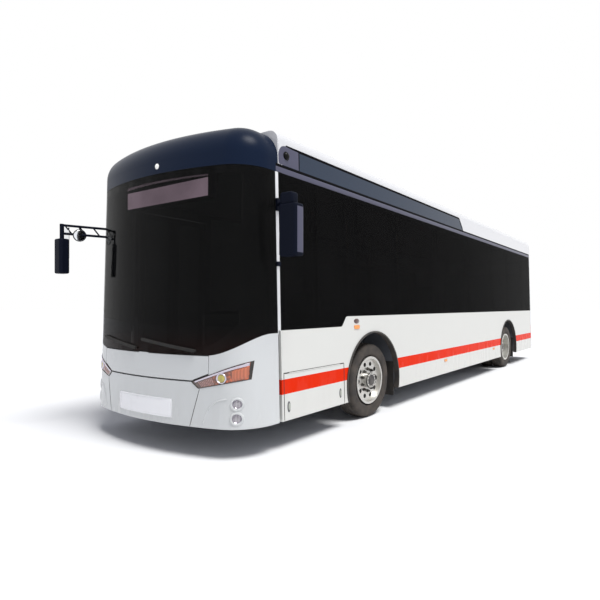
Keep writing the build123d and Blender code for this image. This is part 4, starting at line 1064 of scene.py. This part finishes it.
@dataclass
class FrontFace:
    """What sits on the white front: lamp innards, fog lamp rims, blank plate and the lit sign."""

    skin: Skin
    lamp_inner_low: Tuple[float, float] = (0.73, 0.642)
    lamp_inner: Tuple[float, float] = (0.65, 0.70)
    lamp_outer: Tuple[float, float] = (1.19, 0.905)
    lamp_outer_low: Tuple[float, float] = (1.18, 0.735)
    eye_share: Tuple[float, float] = (0.56, 0.44)
    eye_radius: float = 0.035
    eye_bulge: float = 0.35
    eye_sink: float = 0.004
    eye_ring: Outline = ((0.034, -0.004), (0.052, -0.004), (0.052, 0.004), (0.047, 0.010), (0.040, 0.009),
                         (0.034, 0.002), (0.034, -0.004))
    gasket: Sequence[Tuple[float, ...]] = ((0.0, 0.03, 0.0, 1.0), (0.97, 1.0, 0.0, 1.0),
                                           (0.0, 1.0, 0.0, 0.05), (0.0, 1.0, 0.96, 1.0))
    brow: Tuple[float, ...] = (0.05, 0.96, 0.78, 0.95)
    turn_lens: Tuple[float, ...] = (0.74, 0.96, 0.10, 0.72)
    ribs: Tuple[float, float] = (0.10, 0.36)
    rib_rise: Tuple[float, float] = (0.12, 0.72)
    rib_count: int = 9
    rib_width: float = 0.022
    fog_y: float = 1.09
    fog_z: Tuple[float, float] = (0.515, 0.385)
    fog_radius: float = 0.042
    fog_sink: float = 0.016
    fog_rim: Outline = ((-0.008, 0.0), (-0.001, 0.0), (-0.001, 0.010), (-0.005, 0.013), (-0.008, 0.010),
                        (-0.008, 0.0))
    fog_lip: Outline = ((0.001, -0.006), (0.026, 0.006), (0.018, 0.022), (0.007, 0.024), (0.001, 0.017),
                        (0.001, -0.006))
    glass_gap: float = 0.009
    glass_crown: float = 0.009
    glass_fall: float = 2.5
    glass_rib: float = 0.0012
    glass_rib_turn: float = 900.0
    glass_back: float = 0.002
    ridge: Outline = ((1.02, 0.560), (0.86, 0.540), (0.83, 0.46), (0.785, 0.335))
    ridge_radius: float = 0.010
    ridge_sink: float = 0.004
    plate_half: float = 0.42
    plate_z: Tuple[float, float] = (0.352, 0.528)
    plate_rim: float = 0.008
    sign_x: float = 4.9955
    sign_half: float = 0.66
    sign_z: Tuple[float, float] = (2.455, 2.630)

    def build(self) -> None:
        """Builds both lamps, the fog lamps, the plate and the sign."""
        for side in Side:
            self.build_lamp(side)
        self.build_fog_lamps()
        self.build_plate()
        self.build_sign()

    def lamp_part(self, side: Side, s0: float, s1: float, t0: float, t1: float) -> Shape:
        """A share of the lamp's outline, its corners blended between the lamp's four.

        Args:
            side: which lamp.
            s0: where the share starts, from the lamp's inner tip outwards.
            s1: where it ends.
            t0: where it starts, from the lamp's foot upwards.
            t1: where it ends.

        Returns:
            The shape over s and t.
        """
        whole = quad([(side.value * y, z) for y, z in (self.lamp_inner_low, self.lamp_outer_low,
                                                       self.lamp_outer, self.lamp_inner)])
        return quad([whole(s, t) for s, t in ((s0, t0), (s1, t0), (s1, t1), (s0, t1))])

    def build_lamp(self, side: Side) -> None:
        """Dark surround, bright brow, ribbed inner reflector, projector and orange outer lens.

        The projector's eye is a flattened quarter circle turned about the front's normal: radius * cos a
        outwards and radius * bulge * sin a ahead.

        Args:
            side: which lamp.
        """
        name = side.name.lower()
        front = self.skin.front
        gasket = [pillow(front, self.lamp_part(side, *part), height=0.004) for part in self.gasket]
        add_piece(f"lamp_gasket_{name}", gasket, BLACK_RUBBER, "body")
        brow = pillow(front, self.lamp_part(side, *self.brow), height=0.006)
        add_piece(f"lamp_brow_{name}", [brow], BROW, "body")
        shares = [self.lamp_part(side, s, s + self.rib_width, *self.rib_rise)
                  for s in np.linspace(*self.ribs, self.rib_count)]
        ribs = [pillow(front, share, height=0.004, steps=(6, 12), edge=2.0) for share in shares]
        add_piece(f"lamp_ribs_{name}", ribs, ROSE_LENS, "body")
        turn = pillow(front, self.lamp_part(side, *self.turn_lens), height=0.007)
        add_piece(f"lamp_turn_{name}", [turn], TURN_LENS, "body")
        y, z = self.lamp_part(side, 0.0, 1.0, 0.0, 1.0)(*self.eye_share)
        centre, normal = front(y, z, 0.0), self.skin.front_normal(y, z, 0.0)
        angle = np.linspace(0, math.pi / 2, 10)
        ball = self.eye_radius * np.stack([np.cos(angle), self.eye_bulge * np.sin(angle)], axis=-1)
        ball = np.vstack([[(0.0, -self.eye_sink), (self.eye_radius, -self.eye_sink)], ball])
        ring = revolved(self.eye_ring, centre, normal)
        add_piece(f"lamp_ring_{name}", [ring], BROW, "body")
        add_piece(f"lamp_eye_{name}", [revolved(ball, centre, normal)], PROJECTOR, "body")

    def build_fog_lamps(self) -> None:
        """A pale lip and a bright ring round each fog lamp, a ribbed glass in it and the ridge inside.

        At a distance w from its middle the glass stands crown - fall * w^2 high, plus a low cosine wave of
        w for its ribs.
        """
        rim, lip = (np.array(profile) + (self.fog_radius, 0.0) for profile in (self.fog_rim, self.fog_lip))
        edge = self.fog_radius - self.glass_gap
        spread = np.linspace(0, edge, 24)
        ribs = self.glass_rib * np.cos(spread * self.glass_rib_turn)
        bowl = np.stack([spread, self.glass_crown - self.glass_fall * spread**2 + ribs], axis=-1)
        glass = np.vstack([bowl, [(edge, -self.glass_back), (0.0, -self.glass_back)]])
        rims, glasses, lips = [], [], []
        for side in Side:
            y = side.value * self.fog_y
            for z in self.fog_z:
                centre = self.skin.front(y, z, -self.fog_sink)
                normal = self.skin.front_normal(y, z, -self.fog_sink)
                for pile, profile in ((rims, rim), (glasses, glass), (lips, lip)):
                    pile.append(revolved(profile, centre, normal))
            across, up = self.ridge_curve()
            ridge = self.skin.front(side.value * across, up, -self.ridge_sink)
            lips.append(tube(ridge, self.ridge_radius))
        add_piece("fog_lips", lips, SHADED_FRONT_WHITE, "body")
        add_piece("fog_rims", rims, BROW, "body")
        add_piece("fog_glasses", glasses, CLEAR_LENS, "body")

    def ridge_curve(self) -> Tuple[np.ndarray, np.ndarray]:
        """The bent ridge inside the fog lamps: one cubic curve over its four guide points.

        At share t the points weigh (1 - t)^3, 3 t (1 - t)^2, 3 t^2 (1 - t) and t^3.

        Returns:
            Distances from the centre line, and heights.
        """
        t = np.linspace(0, 1, 40)[:, None]
        a, b, c, d = (np.array(point) for point in self.ridge)
        curve = (1 - t) ** 3 * a + 3 * t * (1 - t) ** 2 * b + 3 * t**2 * (1 - t) * c + t**3 * d
        return curve[:, 0], curve[:, 1]

    def build_plate(self) -> None:
        """A blank white plate with a raised rim."""
        half, (low, high), rim = self.plate_half, self.plate_z, self.plate_rim
        front = self.skin.front
        field = pillow(front, oblong(-half, half, low, high), height=0.006, steps=(40, 16), edge=30.0)
        rims = [pillow(front, oblong(-half, half, z, z + rim), height=0.009, steps=(40, 8))
                for z in (low, high - rim)]
        rims += [pillow(front, oblong(y, y + rim, low, high), height=0.009, steps=(6, 16))
                 for y in (-half, half - rim)]
        add_piece("blank_plate", [field] + rims, PLATE_WHITE, "body")

    def build_sign(self) -> None:
        """The lit, blank face of the sign behind the top of the screen, a pad on a flat."""
        def place(y: Values, z: Values, proud: Values) -> np.ndarray:
            """A place on the flat just ahead of the sign's box."""
            return np.stack([self.sign_x + proud, y, z], axis=-1)

        outline = oblong(-self.sign_half, self.sign_half, *self.sign_z)
        face = pillow(place, outline, height=0.004, sink=0.0005, steps=(40, 16), edge=30.0)
        add_piece("sign_face", [face], SIGN_GLOW, "body")


@dataclass
class BodyTrim:
    """Lines and small fittings on the body: gutters, fairing edges, flap catches, cap, cameras and lamp."""

    skin: Skin
    gutter_z: Tuple[float, float] = (2.692, 2.745)
    gutter_x: Tuple[float, float] = (-5.03, 4.635)
    # Heights of the dark strip over the gutter rail: a painted shadow line.
    gutter_shadow_z: Tuple[float, float] = (2.746, 2.774)
    fairing_x: Tuple[float, float] = (-0.075, 4.597)
    fairing_z: Tuple[float, float] = (2.776, 2.968)
    fairing_slant: float = 0.18
    fairing_round: float = 0.11
    fairing_seam: float = 4.293
    edge_width: float = 0.028
    seam_width: float = 0.012
    joint_width: float = 0.006
    bumper_joint: Outline = ((0.742, 0.640), (0.642, 0.294))
    flap_x: Tuple[float, float] = (3.574, 4.576)
    flap_top: float = 0.752
    flap_foot: float = 0.010
    catch_x: Tuple[float, float] = (4.51, 3.65)
    catch_z: float = 0.42
    catch_size: Tuple[float, float] = (0.046, 0.108)
    grip_share: float = 0.72
    cap: Tuple[float, float] = (3.295, 1.220)
    cap_half: Tuple[float, float] = (0.058, 0.030)
    camera: Tuple[float, float] = (4.485, 2.875)
    camera_radius: float = 0.036
    camera_bulge: float = 0.026
    camera_collar: float = 0.007
    dome_lamp: Tuple[float, float] = (0.142, 2.763)
    dome_lamp_radius: float = 0.020
    dome_lamp_bulge: float = 0.016
    dome_lamp_collar: float = 0.008
    dome_lamp_sink: float = 0.002

    def build(self) -> None:
        """Builds each side's lines, then the panel joints and the small fittings."""
        for side in Side:
            self.build_lines(side)
        self.build_seams()
        self.build_catches()
        self.build_cap()
        self.build_cameras()
        self.build_dome_lamp()

    def build_lines(self, side: Side) -> None:
        """Gutter rail with a dark painted shadow line over it, the fairing's edges as painted shadow lines,
        and its seam, nose and round corner.

        Args:
            side: which side of the bus.
        """
        name = side.name.lower()
        wall = self.skin.side(side)
        rail = pillow(wall, oblong(*self.gutter_x, *self.gutter_z), height=0.007, sink=SHALLOW,
                      steps=(90, 10), edge=6.0)
        add_piece(f"gutter_{name}", [rail], LILAC_TRIM, "body")
        # A dark strip over the rail: painted shadow where the fairing meets the gutter.
        groove = pillow(wall, oblong(*self.gutter_x, *self.gutter_shadow_z), height=0.003, sink=SHALLOW,
                        steps=(90, 6), edge=6.0)
        add_piece(f"gutter_groove_{name}", [groove], SEAM_AND_SHADOW_BLACK, "body")
        (tail, nose), (low, high) = self.fairing_x, self.fairing_z
        # The fairing's slanted tail and top edges are drawn as dark strips: painted shadow lines.
        edge = [(tail - self.fairing_slant, low), (tail, high), (nose - self.fairing_round, high)]
        lines = line_pads(wall, edge, self.edge_width, height=0.004, steps=60)
        seam = [(self.fairing_seam, low), (self.fairing_seam, high)]
        lines += line_pads(wall, seam, self.seam_width, height=0.004)
        add_piece(f"fairing_lines_{name}", lines, SEAM_AND_SHADOW_BLACK, "body")
        panel = pillow(wall, oblong(self.fairing_seam, nose, low, high), height=0.002, sink=SHALLOW,
                       steps=(16, 12), edge=20.0)
        add_piece(f"fairing_nose_{name}", [panel], LILAC_TRIM, "body")
        fill = pillow(wall, nook((nose, high), self.fairing_round), height=0.005, sink=SHALLOW,
                      steps=(16, 10), edge=20.0)
        add_piece(f"fairing_round_{name}", [fill], WHITE, "body")

    def build_seams(self) -> None:
        """Dark panel joints beside the bumper and round the flap on the driver's side."""
        lines = []
        for side in Side:
            ends = [(side.value * y, z) for y, z in self.bumper_joint]
            lines += line_pads(self.skin.front, ends, self.joint_width, height=0.002)
        (low, high), top = self.flap_x, self.flap_top
        foot = self.skin.skirt + self.flap_foot
        lines += line_pads(self.skin.left, [(high, foot), (high, top), (low, top), (low, foot)],
                           self.joint_width, height=0.003)
        add_piece("panel_joints", lines, BLACK_RUBBER, "body")

    def build_catches(self) -> None:
        """Upright oval flap catches: a dark plate with a pale raised grip on it."""
        plates, grips = [], []
        for x in self.catch_x:
            for pads, share, proud in ((plates, 1.0, 0.006), (grips, self.grip_share, 0.011)):
                wide, tall = (share * size / 2 for size in self.catch_size)
                outline = oval(x - wide, x + wide, self.catch_z - tall, self.catch_z + tall)
                pads.append(pillow(self.skin.left, outline, proud, sink=SHALLOW, steps=(14, 18), edge=5.0))
        add_piece("flap_catches", plates, CATCH_GREY, "left_flap_lid")
        add_piece("flap_grips", grips, GRIP_PALE, "left_flap_lid")

    def build_cap(self) -> None:
        """Dark oval cap over the front arch."""
        (x, z), (wide, tall) = self.cap, self.cap_half
        outline = oval(x - wide, x + wide, z - tall, z + tall)
        cap = pillow(self.skin.left, outline, height=0.010, sink=SHALLOW, steps=(18, 12), edge=2.4)
        add_piece("arch_cap", [cap], CAP_BROWN, "body")

    def build_cameras(self) -> None:
        """Small black camera dome on the fairing of each side."""
        profile = dome_profile(self.camera_radius, self.camera_bulge, base=0.003,
                               collar=(self.camera_radius + self.camera_collar, 0.003))
        domes = [revolved(profile, self.skin.side(side)(*self.camera, 0.0), (0.0, side.value, 0.0), steps=32)
                 for side in Side]
        add_piece("fairing_cameras", domes, BLACK_FRAME, "body")

    def build_dome_lamp(self) -> None:
        """Small clear marker lamp on the front of the dome."""
        profile = dome_profile(self.dome_lamp_radius, self.dome_lamp_bulge, base=0.004,
                               collar=(self.dome_lamp_radius + self.dome_lamp_collar, 0.004))
        seat = self.skin.front(*self.dome_lamp, -self.dome_lamp_sink)
        lamp = revolved(profile, seat, (1.0, 0.0, 0.0), steps=32)
        add_piece("dome_lamp", [lamp], BULB_WHITE, "body")


@dataclass
class Mirrors:
    """Mirror glasses, neck and outer face of the driver's mirror, and the kerb side's round mirror."""

    left_head: Tuple[float, float, float] = (4.755, 1.49, 2.085)
    left_size: Tuple[float, float, float] = (0.120, 0.215, 0.470)
    right_head: Tuple[float, float, float] = (5.255, -1.54, 2.13)
    right_size: Tuple[float, float, float] = (0.110, 0.150, 0.400)
    bezel: float = 0.022
    panel_half: Tuple[float, float] = (0.04, 0.205)
    neck: Tuple[float, float, float] = (4.755, 1.465, 2.372)
    neck_size: Tuple[float, float, float] = (0.095, 0.150, 0.115)
    clip: Tuple[float, float, float] = (4.625, 1.216, 1.802)
    clip_size: Tuple[float, float, float] = (0.050, 0.030, 0.045)
    round_mirror: Tuple[float, float, float] = (5.10, -1.462, 2.225)
    round_aim: Tuple[float, float, float] = (0.15, 0.95, -0.20)
    round_radius: float = 0.062
    bowl_radius: float = 0.068
    bowl_depth: float = 0.045
    bowl_lip: float = 0.004
    glass_seat: float = 0.006
    glass_rise: float = 0.010
    glass_back: float = 0.005
    stem: Tuple[float, float, float] = (0.0, 0.0, 0.09)
    stem_radius: float = 0.008

    def build(self) -> None:
        """Builds the glasses, then the neck with its clip, the round mirror and the outer face."""
        glasses = [self.glass(self.left_head, self.left_size), self.glass(self.right_head, self.right_size)]
        add_piece("mirror_glasses", glasses, MIRROR_GLASS, "body")
        neck = [rounded_block(self.neck, self.neck_size), rounded_block(self.clip, self.clip_size)]
        add_piece("mirror_neck", neck, MIRROR_SHELL, "body")
        self.build_round_mirror()
        add_piece("mirror_panel", [self.outer_face()], LILAC_TRIM, "body")

    def glass(self, head: Sequence[float], size: Sequence[float]) -> Patch:
        """A flat glass on the rear of a head, inside its bezel.

        Args:
            head: the head's middle.
            size: its size.

        Returns:
            The pad.
        """
        def rear(y: Values, z: Values, proud: Values) -> np.ndarray:
            """A place on the head's rear."""
            return np.stack([head[0] - size[0] / 2 - proud, head[1] + y, head[2] + z], axis=-1)

        half, tall = size[1] / 2 - self.bezel, size[2] / 2 - self.bezel
        outline = oblong(-half, half, -tall, tall)
        return pillow(rear, outline, height=0.004, sink=SHALLOW, steps=(20, 30), edge=12.0)

    def outer_face(self) -> Patch:
        """A flat pale pad on the outer side of the left head.

        Returns:
            The pad.
        """
        def outside(x: Values, z: Values, proud: Values) -> np.ndarray:
            """A place on the head's outer side."""
            return np.stack([self.left_head[0] + x, self.left_head[1] + self.left_size[1] / 2 + proud,
                             self.left_head[2] + z], axis=-1)

        half, tall = self.panel_half
        outline = oblong(-half, half, -tall, tall)
        return pillow(outside, outline, height=0.003, sink=SHALLOW, steps=(12, 30), edge=10.0)

    def build_round_mirror(self) -> None:
        """A dish turned about its aim with a domed glass in it, on an upright stem.

        Dish and glass are quarter ellipses: radius * cos a and depth * sin a.
        """
        angle = np.linspace(0, math.pi / 2, 12)
        bowl = np.stack([self.bowl_radius * np.cos(angle), -self.bowl_depth * np.sin(angle)], axis=-1)
        lip = [(self.bowl_radius + self.bowl_lip, self.bowl_lip), (self.round_radius, self.glass_seat),
               (0.0, self.glass_seat)]
        dish = revolved(np.vstack([bowl[::-1], lip]), self.round_mirror, self.round_aim)
        foot = np.array(self.round_mirror)
        stem = tube(np.linspace(foot, foot + self.stem, 6), self.stem_radius)
        add_piece("round_mirror_shell", [dish, stem], DASH, "body")
        rise = self.glass_seat + self.glass_rise * np.sin(angle)
        face = np.stack([self.round_radius * np.cos(angle), rise], axis=-1)
        back = [(0.0, self.glass_back), (self.round_radius, self.glass_back)]
        glass = revolved(np.vstack([back, face]), self.round_mirror, self.round_aim)
        add_piece("round_mirror_glass", [glass], MIRROR_GLASS, "body")


@dataclass
class Cabin:
    """The driver's seat: a plain foot with a stuffed cushion and back over it."""

    seat_x: float = 3.605
    seat_y: float = 0.690
    seat_z: float = 0.860
    width: float = 0.520
    cushion: Tuple[float, float] = (0.440, 0.095)
    back: Tuple[float, float] = (0.720, 0.075)
    tilt: float = 0.090
    fill: float = 0.8
    foot_length: float = 0.170
    foot_share: float = 0.8
    floor_z: float = 0.370
    squareness: float = 0.4
    rim_fall: float = 0.125
    side_pull: float = 0.04
    channels: Tuple[float, ...] = (-0.55, 0.55)
    channel_width: float = 0.06
    channel_depth: float = 0.14

    def build(self) -> None:
        """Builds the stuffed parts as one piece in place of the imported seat, and its foot."""
        length, thick = self.cushion
        tall, deep = self.back
        half_width = (0.0, self.width / 2, 0.0)
        seat = self.stuffed((self.seat_x + length / 2, self.seat_y, self.seat_z + thick / 2),
                            ((length / 2, 0.0, 0.0), half_width, (0.0, 0.0, thick / 2)))
        rise = np.array((-self.tilt, 0, tall)) / 2
        out = np.array((tall, 0, self.tilt)) / math.hypot(tall, self.tilt) * deep / 2
        middle = (self.seat_x + deep / 2 - self.tilt / 2, self.seat_y, self.seat_z + tall / 2)
        back = self.stuffed(middle, (rise, half_width, out))
        cushions = add_piece("driver_cushions", [seat, back], DRIVER_CLOTH, "body",
                             ("driver_seat",))
        height = self.seat_z - self.floor_z
        foot = rounded_block((self.seat_x + length / 2, self.seat_y, self.floor_z + height / 2),
                             (self.foot_length, self.width * self.foot_share, height), square=0.15)
        add_piece("driver_seat_foot", [foot], DASH, "body")

    def stuffed(self, centre: Sequence[float], axes: Sequence[Sequence[float]]) -> Patch:
        """A crowned cushion over three half axes.

        A squared ball gives the shares of length, width and thickness. The sides pull in midway between
        the corners, the thickness falls off with the square of the distance from the middle, and each sewn
        channel lowers the face by a bell curve across the width.

        Args:
            centre: the cushion's middle.
            axes: half its length, width and thickness as vectors.

        Returns:
            The grid, round in its columns.
        """
        along, across, up = np.moveaxis(squared_ball(self.squareness, rows=61, cols=120), -1, 0)
        sewn = sum(np.exp(-(((across - line) / self.channel_width) ** 2)) for line in self.channels)
        up = up * (1 - self.rim_fall * (along**2 + across**2)) - self.channel_depth * sewn * (up > 0)
        pulled = along * (1 - self.side_pull * (1 - np.clip(across**2, 0, 1)))
        across = across * (1 - self.side_pull * (1 - np.clip(along**2, 0, 1)))
        return Patch(np.array(centre) + np.stack([pulled, across, up], axis=-1) @ np.array(axes, float))


@dataclass
class Doors:
    """Rubber edges on the door leaves: one along the free edge and one along the foot."""

    skin: Skin
    leaves: Tuple[str, ...] = ("front_door_fore", "front_door_aft", "middle_door_fore", "middle_door_aft")
    seal: float = 0.024
    proud: float = 0.004
    inset: float = 0.017
    foot_rise: float = 0.030

    def build(self) -> None:
        """Puts both strips on each leaf."""
        for leaf in self.leaves:
            low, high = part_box(leaf)
            rear, fore, foot = low.x + self.inset, high.x - self.inset, low.z + self.foot_rise
            free = rear if leaf.endswith("fore") else fore
            upright = [(free, foot), (free, high.z - self.inset)]
            strips = line_pads(self.skin.right, upright, self.seal, self.proud, steps=40)
            strips += line_pads(self.skin.right, [(rear, foot), (fore, foot)], self.seal, self.proud)
            add_piece(f"seal_{leaf}", strips, BLACK_RUBBER, f"{leaf}_leaf")


@dataclass
class Tail:
    """Round lenses in the tail lamps and the catch of the rear hatch."""

    skin: Skin
    lamp_y: float = 1.052
    lamp_radius: float = 0.036
    lamp_bulge: float = 0.010
    lamp_collar: float = 0.004
    lamp_z: Tuple[float, float, float] = (0.58, 0.70, 0.82)
    catch_half: float = 0.07
    catch_z: Tuple[float, float] = (0.455, 0.487)

    def build(self) -> None:
        """Builds three lenses a side, from the foot up clear, red and amber, and the catch."""
        profile = dome_profile(self.lamp_radius, self.lamp_bulge, base=0.003,
                               collar=(self.lamp_radius + self.lamp_collar, 0.002), steps=10)
        finishes = {"clear": CLEAR_LENS, "red": RED_LENS, "amber": AMBER_LENS}
        for (name, finish), z in zip(finishes.items(), self.lamp_z):
            spots = [self.skin.rear(side.value * self.lamp_y, z, 0.0) for side in Side]
            lenses = [revolved(profile, spot, (-1.0, 0.0, 0.0)) for spot in spots]
            add_piece(f"tail_{name}", lenses, finish, "body")
        outline = oblong(-self.catch_half, self.catch_half, *self.catch_z)
        catch = pillow(self.skin.rear, outline, height=0.012, sink=SHALLOW, steps=(20, 10), edge=3.0)
        add_piece("hatch_catch", [catch], CATCH_GREY, "rear_hatch_lid")


@dataclass
class Studio:
    """Pale floor, soft sun, even sky and the camera of the photograph."""

    eye: Tuple[float, float, float] = (8.04, 4.39, 1.40)
    heading: Tuple[float, float] = (-0.847, -0.531)
    focal_px: float = 478.8
    image_px: float = 600.0
    principal_px: Tuple[float, float] = (370.0, 306.0)
    sensor_mm: float = 36.0
    floor_half: float = 150.0
    floor_colour: Colour = (0.94, 0.94, 0.94)
    sky: Colour = (0.30, 0.31, 0.35)
    backdrop: Colour = (1.0, 1.0, 1.0)
    sun_from: Tuple[float, float, float] = (0.06, 0.43, 0.90)
    sun_power: float = 2.95
    sun_spread: float = 25.0

    def build(self) -> None:
        """Sets up floor, light, backdrop and camera."""
        self.build_floor()
        self.build_light()
        self.build_camera()

    def build_floor(self) -> None:
        """One flat square at ground level, near white."""
        reach = self.floor_half
        corners = [(-reach, -reach, 0), (reach, -reach, 0), (reach, reach, 0), (-reach, reach, 0)]
        mesh = bpy.data.meshes.new("floor_sheet")
        mesh.from_pydata(corners, [], [(0, 1, 2, 3)])
        floor = bpy.data.objects.new("floor_sheet", mesh)
        bpy.context.scene.collection.objects.link(floor)
        shader = Shader("studio_floor")
        shader.put(Base_Color=self.floor_colour, Roughness=0.9, Specular_IOR_Level=0.0)
        mesh.materials.append(shader.material)

    def build_light(self) -> None:
        """A wide sun from the driver's side and a sky that is white to eye, gloss and glass."""
        lamp = bpy.data.lights.new("soft_sun", "SUN")
        lamp.energy = self.sun_power
        lamp.angle = math.radians(self.sun_spread)
        sun = bpy.data.objects.new("soft_sun", lamp)
        bpy.context.scene.collection.objects.link(sun)
        away = np.array(self.sun_from)
        sun.rotation_euler = (math.acos(away[2] / np.linalg.norm(away)), 0,
                              math.atan2(away[1], away[0]) + math.pi / 2)
        world = bpy.data.worlds.new("studio_sky")
        bpy.context.scene.world = world
        world.use_nodes = True
        sky = Nodes(world.node_tree)
        seen = sky.node("ShaderNodeLightPath", out="Is Camera Ray")
        path = seen.socket.node
        for ray in ("Is Glossy Ray", "Is Transmission Ray"):
            seen = seen.either(Sock(sky, path.outputs[ray]))
        shown = sky.blend(seen, self.sky, self.backdrop)
        sky.feed(sky.tree.nodes["Background"].inputs["Color"], shown)

    def build_camera(self) -> None:
        """A level camera whose shift puts the line of sight at the photograph's principal point."""
        lens = bpy.data.cameras.new("camera")
        lens.sensor_width = self.sensor_mm
        lens.lens = self.focal_px / self.image_px * self.sensor_mm
        middle = self.image_px / 2
        lens.shift_x = (middle - self.principal_px[0]) / self.image_px
        lens.shift_y = (self.principal_px[1] - middle) / self.image_px
        camera = bpy.data.objects.new("camera", lens)
        camera.location = self.eye
        camera.rotation_euler = (math.pi / 2, 0, math.atan2(self.heading[1], self.heading[0]) - math.pi / 2)
        bpy.context.scene.collection.objects.link(camera)
        bpy.context.scene.camera = camera


def dress_nodes() -> None:
    """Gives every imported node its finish."""
    for finish, names in NODE_FINISHES.items():
        for name in names:
            dress(frame["nodes"][name], finish)
            LOG.info("dressed %s", name)


def main() -> None:
    """Builds the studio, dresses the frame and adds the pieces in order."""
    logging.basicConfig(level=logging.INFO)
    bpy.context.scene.view_settings.view_transform = "Standard"
    Studio().build()
    dress_nodes()
    skin = Skin()
    assemblies = (Wheels(), FrontFace(skin), BodyTrim(skin), Mirrors(), Cabin(), Doors(skin), Tail(skin))
    for assembly in assemblies:
        assembly.build()


if __name__ == "__main__":
    main()
